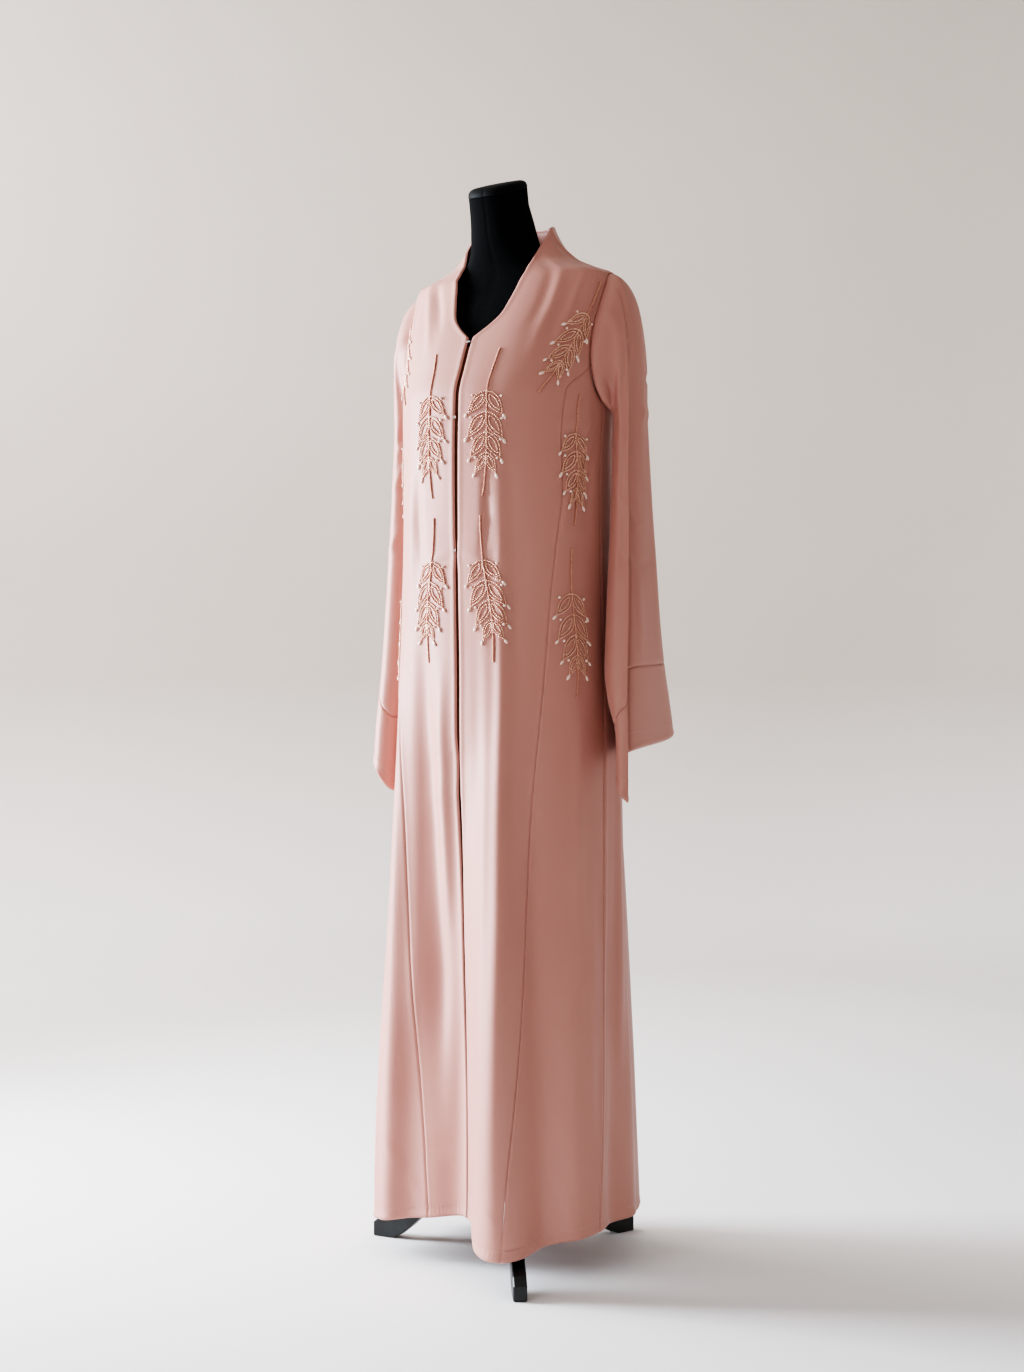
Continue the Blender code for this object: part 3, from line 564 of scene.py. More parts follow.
BULGE, ROLL = 0.0011, 0.0035  # how far a turned edge swells, and over what width
HEM_BULGE, HEM_ROLL = 0.0009, 0.0040
NECK_BULGE, NECK_ROLL = 0.0008, 0.0030
HEM_STITCHES = 0.0165  # how far above the hem's edge its stitches run
STITCH_PULL, STITCH_WIDTH = 0.0005, 0.0016  # how far they pull the cloth in, and how wide
SEAM_DEPTH, SEAM_WIDTH = 0.0010, 0.0015


def edge_swell(distance, bulge=BULGE, roll=ROLL):
    """A turned edge: it swells a little inside its fold and rounds off at the very edge."""
    distance = np.maximum(distance, 0)
    return bulge * bell(distance - roll, roll) - 1.6 * bulge * bell(distance, 0.45 * roll)


def hem_swell(above):
    """A hem: its turned edge, and the stitches that pull it in above that."""
    pull = STITCH_PULL * bell(above - HEM_STITCHES, STITCH_WIDTH)
    return edge_swell(above, HEM_BULGE, HEM_ROLL) - pull


def seam_dip(distance):
    """The cloth dips into a seam and stands a little proud beside it."""
    distance = np.maximum(distance, 0)
    ridge = 0.35 * SEAM_DEPTH * bell(distance - 2.2 * SEAM_WIDTH, SEAM_WIDTH)
    return ridge - SEAM_DEPTH * bell(distance, SEAM_WIDTH)


def walked(points, axis=0):
    """Metres walked along a line of points, or along a grid's columns (0) or rows (1)."""
    steps = np.linalg.norm(np.diff(points, axis=axis), axis=-1)
    return np.cumsum(np.insert(steps, 0, 0, axis=axis), axis=axis)


def metres_round(azimuth, height, edge):
    """Metres along a row from its edge column (0 or -1)."""
    metres = walked(body_point(azimuth, height), 1)
    return abs(metres - metres[:, edge, None])


def seam_lift(azimuth, height, edges=(0, -1)):
    """The dips of a panel's sewn edges: its first column, its last one or both."""
    return sum(seam_dip(metres_round(azimuth, height, edge)) for edge in edges)


def shares(columns):
    """Shares across a panel's rows, with three closer cells at each edge."""
    middle = np.linspace(0, 1, columns - 6)
    extra = np.array([0.12, 0.30, 0.58]) * middle[1]
    return np.sort(np.concatenate([middle, extra, 1 - extra]))[None, :]


def body_panel(name, azimuth, height, lift, material):
    """A panel of the body's cloth, with its own lift at its edges and the body's elsewhere."""
    normals = body_normal(azimuth, height)
    lift = lift + hem_swell(height - hem_height(azimuth))
    lift = body_lift(azimuth, height) + lift
    return cloth(name, body_point(azimuth, height) + normals * lift[..., None], normals, material)


FRONT_COLUMNS, STRIP_COLUMNS, BACK_COLUMNS = 56, 34, 104
STRIP_LEVEL = 1.0  # above this height the side strip's rows bend to the armhole
COLLAR_ROWS = 43  # rows of the back above its armholes
NECK_SLANT = 1.2  # length along the back's cloth for each metre of rise at the neck


def front_panel(name, side, material):
    """A centre front with its half of the collar, from the opening to the princess seam."""
    middle = steps_between(UNDERARM, PRINCESS_TOP - 0.001)
    upper = armhole_levels(PRINCESS_TOP)
    collar = steps_between(SHOULDER_TIP + 0.0006, FRONT_TOP, 0.0022)
    levels = np.concatenate([skirt_levels(UNDERARM - 0.002), middle, upper, collar])[:, None]
    low, high = front_edge(levels), front_outer_edge(levels)
    high = high - degrees_of(SEAM_GAP / 2, high, levels)
    azimuth = side * (low + (high - low) * shares(FRONT_COLUMNS))
    height = level_height(levels, azimuth)
    lift = edge_swell(metres_round(azimuth, height, 0)) + seam_lift(azimuth, height, (-1,))
    return body_panel(name, azimuth, height, lift, material)


def side_panel(name, side, material):
    """The strip between the princess seam and the side seam, up to the armhole."""
    levels = skirt_levels(STRIP_LEVEL)[:, None]
    share = shares(STRIP_COLUMNS)
    width = 90 - PRINCESS[-1][1]
    off = np.clip(width * (1 - share) / ARMHOLE_FRONT, 0, 1)
    top = ARMHOLE_Z - ARMHOLE_HALF_HEIGHT * np.sqrt(1 - off**2) - SEAM_GAP
    grown = np.linspace(0, 1, round((UNDERARM - STRIP_LEVEL) / CELL) + 1)[1:, None]
    upper = levels[-1] + (np.minimum(top, PRINCESS_TOP) - levels[-1]) * grown
    height = np.vstack([levels + 0 * share, upper])
    first, last = height[:, :1], height[:, -1:]
    low = value_at(PRINCESS, first) + degrees_of(SEAM_GAP / 2, 70.0, first)
    high = value_at(SIDE_SEAM, last) - degrees_of(SEAM_GAP / 2, 90.0, last)
    azimuth = side * (low + (high - low) * share)
    height = level_height(height, azimuth)
    return body_panel(name, azimuth, height, seam_lift(azimuth, height), material)


def back_panel(name, material):
    """The back with its half of the collar, from side seam to side seam."""
    levels = np.concatenate([skirt_levels(UNDERARM - 0.002), armhole_levels(UNDERARM + 1e-6)])[:, None]
    grown = np.linspace(0, 1, COLLAR_ROWS + 1)[1:, None]
    armhole = 180 - armhole_azimuth(levels, ARMHOLE_BACK)
    edge = np.where(levels > UNDERARM, armhole, value_at(SIDE_SEAM, levels))
    edge = np.vstack([edge, 0 * grown + 90.0])
    all_levels = np.vstack([levels, SHOULDER_TIP + 0 * grown])
    edge = edge + degrees_of(SEAM_GAP / 2, edge, all_levels)
    azimuth = edge + (360 - 2 * edge) * shares(BACK_COLUMNS)
    rim = value_at(NECKLINE, np.minimum(azimuth % 360, 360 - azimuth % 360))
    height = level_height(all_levels, azimuth)
    first = len(levels)
    height[first:] = SHOULDER_TIP + grown * (rim[first:] - SHOULDER_TIP)
    neck = edge_swell((rim - height) * NECK_SLANT, NECK_BULGE, NECK_ROLL)
    return body_panel(name, azimuth, height, seam_lift(azimuth, height) + neck, material)


# ---- sleeves and cuffs
def ring_corners(rows, height):
    """The sixteen corners of a sleeve's ring in plan: front face, tuck, outer, back, inner."""
    inner, outer, front, back, tuck, lip = np.moveaxis(along(rows, height), -1, 0)
    width, length = outer - inner, back - front
    step = TUCK_STEP * ease(tuck / FULL_TUCK)
    face = outer - lip
    corners = (
        (lip, front + 0.16 * length),
        (lip + 0.22 * face, front + 0.004 + 0.02 * length),
        (lip + 0.66 * face, front - 0.001),
        (outer, front + 0.006),
        (outer - tuck * 0.55, front + 0.006 + 0.45 * step),
        (outer - tuck * 0.50, front + 0.008 + step),
        (outer - 0.0015, front + 0.012 + 1.5 * step),
        (outer + 0.0030, front + 0.34 * length),
        (outer + 0.0040, front + 0.62 * length),
        (outer + 0.0010, front + 0.86 * length),
        (outer - 0.22 * width, back),
        (inner + 0.42 * width, back - 0.01 * length),
        (inner + 0.16 * width, front + 0.84 * length),
        (inner, front + 0.62 * length),
        (inner, front + 0.42 * length),
        (inner + 0.5 * (lip - inner), front + 0.24 * length),
    )
    return np.stack([np.stack(corner, -1) for corner in corners], -2)


def sleeve_point(rows, corner, height):
    """Points on the smooth closed line through the ring's corners."""
    corners = ring_corners(rows, height)
    first = np.floor(corner).astype(int)[..., None, None]
    t = (corner % 1)[..., None]
    near = [np.take_along_axis(corners, (first + k) % CORNERS, axis=-2) for k in (-1, 0, 1, 2)]
    a, b, c, d = (point[..., 0, :] for point in near)
    bend = 2 * a - 5 * b + 4 * c - d
    plan = 0.5 * (2 * b + (c - a) * t + bend * t**2 + (3 * b - a - 3 * c + d) * t**3)
    return POLE + np.concatenate([plan, height[..., None]], -1)


def armhole_point(angle):
    """Points of the armhole, and the directions in which the sleeve leaves it."""
    turn = np.radians(angle)
    reach = np.where(np.cos(turn) > 0, ARMHOLE_FRONT, ARMHOLE_BACK)
    up = np.sin(turn)
    point = body_point(90 - reach * np.cos(turn), ARMHOLE_Z + ARMHOLE_HALF_HEIGHT * up)
    # sideways, spreading to the front and the back, and downwards
    lean = np.stack([1 + 0 * up, -0.35 * np.cos(turn), 0.25 * up - 0.45], -1)
    lean = lean + np.minimum(up, 0)[..., None] * np.array([0.75, 0.0, 0.35])
    return point, unit(lean)


def sleeve_cap(rows, corner):
    """The stretch from the armhole to the top of the sleeve's tube."""
    end = sleeve_point(rows, corner, np.full(corner.shape, TUBE_TOP))[None]
    start, lean = armhole_point(value_at(LOOP_ANGLES, corner))
    under = tucked_edge(start, lean)
    start = (start + lean * SLEEVE_GAP)[None]
    drop = start[..., 2:] - end[..., 2:]
    reach = CAP_REACH * (0.25 + 0.75 * drop / (2 * ARMHOLE_HALF_HEIGHT))
    a = start + lean * reach
    b = end + np.minimum(CAP_DROP, 0.62 * drop) * np.array([0.0, 0.0, 1.0])
    t = np.linspace(0, 1, CAP_ROWS + 1)[:-1, None, None]
    s = 1 - t
    curve = s**3 * start + 3 * s * s * t * a + 3 * s * t * t * b + t**3 * end
    return np.concatenate([under, curve])


def tucked_edge(start, lean):
    """Two rows of the sleeve's edge that pass under the body's cloth."""
    azimuth = np.degrees(np.arctan2(start[..., 0], -(start[..., 1] - POLE[1])))
    outward = body_normal(turned(azimuth), start[..., 2])
    sideways = flattened(lean, outward)
    return np.stack([start - outward * depth + sideways * beside for depth, beside in TUCK])


def row_distance(grid, row):
    """Metres down each column of a grid from one of its rows."""
    metres = walked(grid)
    return abs(metres - metres[row])


def sleeve_grid(rows, cuff):
    """Points of a sleeve with its cuff, their corners, and the row of the seam between the two."""
    corner = np.arange(0, CORNERS, 1 / POINTS_A_CORNER)
    seam, hem = along(cuff, corner).T
    tube = np.linspace(0, 1, TUBE_ROWS)[:, None]
    ends = np.concatenate([np.linspace(0, 1, CUFF_ROWS), [0.008, 0.02, 0.97, 0.985]])
    ends = np.sort(ends)[1:, None]
    heights = np.vstack([TUBE_TOP + (seam - TUBE_TOP) * tube, seam + (hem - seam) * ends])
    cap = sleeve_cap(rows, corner)
    grid = np.concatenate([cap, sleeve_point(rows, corner + 0 * heights, heights)])
    return grid, corner + 0 * grid[..., 0], len(cap) + TUBE_ROWS - 1


def sleeve_lift(grid, corners, seam_row, side, creases):
    """Everything that lifts a sleeve's cloth off its plain form."""
    heights = grid[..., 2]
    phase = 2 * np.pi * corners / CORNERS
    lift = crease_field(creases, corners, heights, CORNER_WIDTH, CORNERS)
    for part, seed in ((np.cos, 11), (np.sin, 17)):
        lift = lift + undulation(SLEEVE_RADIUS * part(phase), heights, seed + side, SLEEVE_RISE)
    from_armhole = row_distance(grid, TUCKED_ROWS)
    from_armhole[:TUCKED_ROWS] = 0
    lift = lift * ease(from_armhole / PLAIN_BELT)
    lift = lift + 0.5 * seam_dip(from_armhole) + seam_dip(row_distance(grid, seam_row))
    lift[:TUCKED_ROWS] = 0
    return lift + hem_swell(row_distance(grid, -1))


def sleeve_and_cuff(label, side, rows, cuff, creases, material):
    """A sleeve, its cuff, and the line of the cuff's stitches with its outward directions."""
    grid, corners, last = sleeve_grid(rows, cuff)
    outward = -grid_normals(grid, tube=True)
    lift = sleeve_lift(grid, corners, last, side, creases)
    mirror = np.array([side, 1.0, 1.0])
    outer, outward = (grid + outward * lift[..., None]) * mirror, outward * mirror
    upper = outer[: last + 1].copy()
    upper[-1, :, 2] += SEAM_GAP
    sleeve = cloth(f"sleeve_{label}_cloth", upper, outward[: last + 1], material, tube=True)
    ending = cloth(f"cuff_{label}_cloth", outer[last:], outward[last:], material, tube=True)
    return sleeve, ending, (outer[CUFF_STITCH_ROW], outward[CUFF_STITCH_ROW])


UNDERLAP_HALF_WIDTH = 0.016
UNDERLAP_BEHIND = 0.0035
UNDERLAP_TOP = 1.380
UNDERLAP_BOTTOM = 0.775
UNDERLAP_RIPPLE = 0.0004


def underlap(material):
    """The strip behind the front opening."""
    levels = steps_between(UNDERLAP_BOTTOM, UNDERLAP_TOP)[:, None]
    across = np.linspace(-1, 1, 13)[None, :]
    azimuth = across * degrees_of(UNDERLAP_HALF_WIDTH, 0.0, levels)
    height = levels + 0 * azimuth
    normal = body_normal(azimuth, height)
    ripple = UNDERLAP_RIPPLE * np.sin(height * 71) * np.cos(across * 2)
    outer = body_point(azimuth, height) + normal * (ripple - UNDERLAP_BEHIND)[..., None]
    return cloth("underlap_cloth", outer, normal, material)


# ---- stitches and beads
def bead_shape(around, rings):
    """A unit ball: its points and faces."""
    turn = 2 * np.pi * np.arange(around) / around
    points = [(0.0, 0.0, 1.0)]
    for tilt in np.pi * np.arange(1, rings) / rings:
        wide, up = math.sin(tilt), math.cos(tilt)
        points += [(wide * math.cos(a), wide * math.sin(a), up) for a in turn]
    points.append((0.0, 0.0, -1.0))
    last, base = len(points) - 1, len(points) - 1 - around
    faces = [(0, 1 + j, 1 + (j + 1) % around) for j in range(around)]
    for i in range(rings - 2):
        a, b = 1 + i * around, 1 + (i + 1) * around
        faces += [(a + j, b + j, b + (j + 1) % around, a + (j + 1) % around) for j in range(around)]
    faces += [(last, base + (j + 1) % around, base + j) for j in range(around)]
    return np.array(points), faces


def scattered(name, shape, centres, ahead, outward, sizes, material):
    """One mesh of many copies of a shape, each with its long axis ahead and a size in each axis."""
    points, faces = shape
    ahead = flattened(ahead, outward)
    across = np.cross(outward, ahead)
    axes = np.stack([across, outward, ahead], 1)
    copies = np.einsum("pk,nk,nkx->npx", points, sizes, axes) + centres[:, None]
    starts = range(0, len(centres) * len(points), len(points))
    all_faces = [[corner + start for corner in face] for start in starts for face in faces]
    return new_object(name, copies.reshape(-1, 3), all_faces, material)


STITCH, STITCH_GAP = 0.0034, 0.0016  # length of a stitch, and from it to the next
THREAD = 0.00028  # radius of the sewing thread
TACK_AZIMUTHS = (-6.4, -2.6)
TACK_HEIGHTS = (0.768, 0.772)


def evenly(line, spacing):
    """Points spaced evenly along a line of points, and the directions it runs there."""
    metres = walked(line)
    at = np.arange(spacing / 2, metres[-1], spacing)

    def read(values):
        return np.stack([np.interp(at, metres, column) for column in values.T], -1)

    return read(line), read(np.gradient(line, axis=0))


def stitch_line(name, line, outward, material):
    both, ahead = evenly(np.concatenate([line, outward], -1), STITCH + STITCH_GAP)
    normals = unit(both[:, 3:])
    centres = both[:, :3] + normals * THREAD * 0.4
    sizes = np.tile([THREAD, THREAD, STITCH / 2], (len(centres), 1))
    return scattered(name, bead_shape(5, 3), centres, ahead[:, :3], normals, sizes, material)


def body_spot(azimuth, height):
    """A point on the finished cloth of the body, and the direction square to it."""
    normal = body_normal(azimuth, height)
    return body_point(azimuth, height) + normal * body_lift(azimuth, height)[..., None], normal


def hem_stitches(material):
    azimuth = np.linspace(0.8, 359.2, 900)
    points, normals = body_spot(azimuth, hem_height(azimuth) + HEM_STITCHES)
    return stitch_line("stitches_hem", points - normals * STITCH_PULL, normals, material)


def tack_stitches(material):
    """Two short rows that close the placket near its foot."""
    azimuth = np.linspace(*TACK_AZIMUTHS, 12)
    lower, upper = (height + 0 * azimuth for height in TACK_HEIGHTS)
    rows = (body_spot(azimuth, lower), body_spot(azimuth[::-1], upper))
    line, normals = (np.concatenate(both) for both in zip(*rows))
    return stitch_line("stitches_placket", line, normals, material)


SEED = 0.00150  # radius of a seed bead
PEARL = 0.0021  # radius of a pearl
DROP = (0.0023, 0.0018, 0.0044)  # half sizes of a drop
LEAF_LENGTH, LEAF_WIDTH = 0.047, 0.0190
STEM_TOP, STEM_BOTTOM = 0.112, -0.108
LEAVES = ((0.046, 0.90), (0.016, 1.0), (-0.014, 0.94), (-0.044, 0.70))  # height on the stem, size
LEAF_ROWS = ((1, 0.0), (-1, 0.0), (0.5, 0.16), (-0.5, 0.16))  # share of half a leaf, start
LEAF_LEAN, LEAN_CHANGE = 40, 4  # degrees from the stem at the top leaves, less at each next pair
SEED_SPACING, CORD_SPACING = 2.05 * SEED, 1.75 * SEED
DROP_GAP, PEARL_GAP = 0.0052, 0.0046  # from a leaf's tip and from its side
PEARL_PLACE = 0.46  # share of the leaf's length
AHEAD = 0.0005  # how far ahead a bead looks for the way that the cloth runs

# Places of the sprigs on the wearer's left, mirrored on the right: azimuth, height of the
# middle, degrees by which the top leans outwards, and size.
SPRIGS = (
    (17.6, 1.258, 4.0, 1.0),
    (17.8, 1.012, -3.0, 0.98),
    (57.0, 1.384, 26.0, 0.86),
    (66.5, 1.203, 3.0, 0.88),
    (63.0, 0.962, 2.0, 1.0),
)


def stem_line():
    """The stem of a sprig: a slow bend from its top down."""
    v = np.linspace(STEM_TOP, STEM_BOTTOM, 60)
    u = 0.0050 * np.sin(np.pi * (v - STEM_BOTTOM) / (STEM_TOP - STEM_BOTTOM) * 1.6 + 0.4)
    return np.stack([u, v], -1)


def leaf_lines(start, lean, size):
    """Outline and inner rows of an almond leaf that points down and out from the stem."""
    t = np.linspace(0, 1, 16)
    spread = LEAF_WIDTH * size / 2 * np.sin(np.pi * t**0.85)
    down = np.array([math.sin(lean), -math.cos(lean)])
    aside = np.array([math.cos(lean), math.sin(lean)])
    for edge, first in LEAF_ROWS:
        stretch = LEAF_LENGTH * size * (first + (1 - 2 * first) * t)
        yield start + stretch[:, None] * down + (edge * spread)[:, None] * aside


def sprig():
    """A beaded sprig on flat cloth: spots and ways of its cord, seed beads, pearls and drops."""
    stem = stem_line()
    seeds, pearls, drops = [], [], []
    for number, (step, size) in enumerate(LEAVES):
        start = stem[np.argmin(abs(stem[:, 1] - step))]
        length, width = LEAF_LENGTH * size, LEAF_WIDTH * size
        for hand in (1, -1):
            lean = hand * math.radians(LEAF_LEAN - LEAN_CHANGE * number)
            seeds += [evenly(line, SEED_SPACING) for line in leaf_lines(start, lean, size)]
            away = np.array([math.sin(lean), -math.cos(lean)])
            beside = np.array([hand * math.cos(lean), hand * math.sin(lean)])
            drops.append((start + away * (length + DROP_GAP), away))
            spot = start + away * length * PEARL_PLACE + beside * (width * 0.5 + PEARL_GAP)
            pearls.append((spot, beside))
    joined = [np.concatenate(column) for column in zip(*seeds)]
    return [evenly(stem, CORD_SPACING), joined] + [np.stack(kind, 1) for kind in (pearls, drops)]


def on_cloth(spots, place, side):
    """Beads of a flat sprig laid on the body: centres, directions ahead and outward."""
    (azimuth, height, lean, size), (flat, ahead) = place, spots
    turn = math.radians(lean)
    spin = np.array([[math.cos(turn), -math.sin(turn)], [math.sin(turn), math.cos(turn)]])
    flat, ahead = size * flat @ spin, ahead @ spin

    def laid(points):
        return body_spot(side * (azimuth + points[:, 0] / DEGREE), height + points[:, 1])

    here, normal = laid(flat)
    there, _ = laid(flat + unit(ahead + 1e-12) * AHEAD)
    return here, there - here, normal


def beadwork(label, side, metal, pearl, cord):
    """All the sprigs of one side: its cord stems, seed beads, pearls and drops."""
    random = np.random.default_rng(23 + side)
    kinds = (
        ("stems", (SEED * 1.05, SEED * 0.95, SEED * 1.05), bead_shape(6, 4), cord),
        ("seeds", (SEED, SEED * 0.9, SEED * 0.95), bead_shape(7, 5), metal),
        ("pearls", (PEARL, PEARL, PEARL), bead_shape(10, 7), pearl),
        ("drops", DROP, bead_shape(10, 7), pearl),
    )
    for (name, size, shape, material), spots in zip(kinds, sprig()):
        laid = zip(*(on_cloth(spots, place, side) for place in SPRIGS))
        centres, ahead, outward = (np.concatenate(parts) for parts in laid)
        sizes = np.array(size) * random.uniform(0.88, 1.1, (len(centres), 1))
        centres = centres + outward * size[1] * 0.75
        stray = 0.12 * random.normal(size=ahead.shape)
        ahead = ahead + stray * np.linalg.norm(ahead, axis=-1, keepdims=True)
        yield scattered(f"beads_{name}_{label}", shape, centres, ahead, outward, sizes, material)


# ---- dress form
TORSO = np.array((
    # height, half_width, front, back, middle
    (790, 60, 50, 60, 4),
    (795, 110, 80, 92, 4),
    (810, 140, 100, 116, 4),
    (870, 152, 108, 126, 4),
    (960, 146, 104, 118, 4),
    (1070, 120, 90, 92, 4),
    (1180, 132, 108, 100, 6),
    (1270, 146, 132, 112, 8),
    (1330, 150, 120, 114, 12),
    (1390, 150, 94, 108, 15),
    (1440, 149, 70, 98, 16),
    (1470, 143, 52, 88, 16),
    (1490, 124, 44, 76, 16),
    (1505, 94, 40, 64, 12),
    (1520, 68, 46, 52, 0),
    (1545, 52, 58, 42, -10),
    (1580, 46.5, 66, 28, -18),
    (1605, 44, 72, 14, -27),
)) / MM
CAP_SLOPE = 0.34  # rise of the cap for each metre towards the back
CAP_FRONT_Z = 1.608  # height of its front edge
CAP_LEAN = 0.20  # how far the neck leans forward for each metre of rise
CAP_PROFILE = (
    # height over the neck, size
    (0.0, 1.0), (0.001, 1.008), (0.0045, 1.006), (0.008, 0.975), (0.0108, 0.91), (0.0124, 0.8),
    (0.013, 0.55),
)
FORM_SEAMS = (0, 42, -42, 90, -90, 140, -140, 180)  # azimuths
FORM_SEAM_DEPTH, FORM_SEAM_WIDTH = 0.0007, 0.0016


def slanted(points, lift):
    """The ring of the neck carried up to the cap's slanted plane."""
    points = points.copy()
    front = points[:, 1].min()
    rise = CAP_FRONT_Z + (points[:, 1] - front) * CAP_SLOPE + lift - points[:, 2]
    points[:, 2] += rise
    points[:, 1] -= rise * CAP_LEAN
    return points


def closed_loft(name, rings, material):
    """A closed solid over a stack of rings, with fans over its ends."""
    rows, columns = len(rings), len(rings[0])
    points = list(np.concatenate(rings)) + [rings[0].mean(axis=0), rings[-1].mean(axis=0)]
    faces = grid_faces(rows, columns, True)
    bottom, top, last = len(points) - 2, len(points) - 1, (rows - 1) * columns
    for j in range(columns):
        k = (j + 1) % columns
        faces += [[bottom, k, j], [top, last + j, last + k]]
    return new_object(name, points, faces, material)


def torso_rings():
    """Rings of the form's torso and neck, with its seams sunk a little."""
    azimuth = np.linspace(0, 360, 120, endpoint=False)
    heights = np.concatenate([[0.790, 0.7915, 0.795, 0.800], np.linspace(0.806, 1.605, 150)])
    grid, out = ring(TORSO, azimuth[None, :], heights[:, None] + 0 * azimuth[None, :])
    for seam in FORM_SEAMS:
        off = turned(azimuth - seam) * DEGREE
        grid = grid - out * FORM_SEAM_DEPTH * bell(off, FORM_SEAM_WIDTH)[None, :, None]
    return grid + POLE


def cap_ring(rim, lift, size):
    row = slanted(rim, lift)
    middle = row.mean(axis=0)
    return middle + (row - middle) * size


def dress_form(jersey, satin):
    rows = torso_rings()
    torso = closed_loft("form_torso_cover", [*rows, slanted(rows[-1], -0.0004)], jersey)
    rings = [cap_ring(rows[-1], lift, size) for lift, size in CAP_PROFILE]
    return torso, closed_loft("form_cap_cover", rings, satin)


# ---- materials
class Surface:
    """A new material, its node tree built in short calls. An underscore in a key is a space."""

    def __init__(self, name):
        self.material = bpy.data.materials.new(name)
        self.material.use_nodes = True
        self.tree = self.material.node_tree
        self.where = self.tree.nodes.new("ShaderNodeTexCoord").outputs["Object"]

    def fill(self, made, inputs):
        for key, value in inputs.items():
            socket = made.inputs[key.replace("_", " ")]
            if isinstance(value, bpy.types.NodeSocket):
                self.tree.links.new(value, socket)
            else:
                socket.default_value = value
        return made

    def node(self, kind, **inputs):
        return self.fill(self.tree.nodes.new(kind), inputs)

    def noise(self, scale, detail=2.0, roughness=0.5, stretch=None):
        """Noise over the object's own space, drawn out along the axes where `stretch` is small."""
        where = self.where
        if stretch:
            where = self.node("ShaderNodeMapping", Vector=where, Scale=stretch).outputs["Vector"]
        values = {"Scale": scale, "Detail": detail, "Roughness": roughness}
        return self.node("ShaderNodeTexNoise", Vector=where, **values).outputs["Fac"]

    def ramp(self, factor, low, high, first, last):
        """Colours from first to last as the factor goes from low to high."""
        made = self.node("ShaderNodeValToRGB", Fac=factor)
        for stop, position, colour in zip(made.color_ramp.elements, (low, high), (first, last)):
            stop.position = position
            stop.color = (*colour, 1)
        return made.outputs["Color"]

    def product(self, one, other):
        """The product of two colours, by the colour sockets of a Mix node."""
        mix = self.node("ShaderNodeMix", Factor=1.0)
        mix.data_type = "RGBA"
        mix.blend_type = "MULTIPLY"
        self.tree.links.new(one, mix.inputs[6])
        self.tree.links.new(other, mix.inputs[7])
        return mix.outputs[2]

    def bump(self, height, strength, distance, **normal):
        values = {"Height": height, "Strength": strength, "Distance": distance}
        return self.node("ShaderNodeBump", **values, **normal).outputs["Normal"]

    def shaded(self, **inputs):
        """The material, with these values and links on its shader's own sockets."""
        self.fill(self.tree.nodes["Principled BSDF"], inputs)
        return self.material


# Materials with one noise: the noise, the ramp of colours on it, the bump by it (strength and
# distance) where there is one, and the shader's other values.
GRAINED = {
    # the underlap's matt crepe, painted far darker than the crepe itself: painted shade for the gap of
    # the opening
    "pink_crepe_painted_shade": (
        (900.0, 3.0, 0.6), (0.25, 0.75, (0.105, 0.038, 0.024), (0.150, 0.058, 0.038)),
        (0.3, 0.0004), {"Roughness": 0.85, "Specular_IOR_Level": 0.1},
    ),
    # the neck's cap: satin cloth over board
    "black_cap": (
        (700.0, 2.0), (0.3, 0.7, (0.0022, 0.0030, 0.0034), (0.0050, 0.0062, 0.0068)),
        (0.2, 0.0003), {"Roughness": 0.62, "Specular_IOR_Level": 0.12},
    ),
    # the hook and the snaps, with fine scratches
    "plated_steel": (
        (2400.0, 2.0, 0.5, (0.2, 1.0, 1.0)), (0.2, 0.8, (0.58, 0.58, 0.60), (0.78, 0.78, 0.79)),
        (0.1, 0.0001), {"Metallic": 1.0, "Roughness": 0.24},
    ),
    # seed beads with a lining
    "rose_gold_beads": (
        (420.0, 1.0), (0.3, 0.7, (0.58, 0.29, 0.20), (0.88, 0.54, 0.41)), None,
        {"Metallic": 0.35, "Roughness": 0.22, "Coat_Weight": 0.5, "Coat_Roughness": 0.08},
    ),
    # the twisted cord of the stems
    "rose_gold_cord": (
        (650.0, 1.0), (0.3, 0.7, (0.46, 0.19, 0.13), (0.76, 0.42, 0.31)), None,
        {"Metallic": 0.35, "Roughness": 0.32},
    ),
    # blush pearls and drops
    "pearl_beads": (
        (300.0, 2.0), (0.3, 0.7, (0.80, 0.54, 0.44), (0.92, 0.72, 0.62)), None,
        {"Roughness": 0.18, "Coat_Weight": 0.6, "Coat_Roughness": 0.06},
    ),
    # sewing thread, a little paler than the crepe
    "pink_thread": (
        (1800.0, 1.0), (0.3, 0.7, (0.50, 0.27, 0.23), (0.62, 0.37, 0.32)),
        (0.3, 0.0002), {"Roughness": 0.55},
    ),
}


def grained(name):
    """A material from the table above."""
    grain, colours, bump, values = GRAINED[name]
    surface = Surface(name)
    factor = surface.noise(*grain)
    if bump:
        values = {**values, "Normal": surface.bump(factor, *bump)}
    return surface.shaded(Base_Color=surface.ramp(factor, *colours), **values)


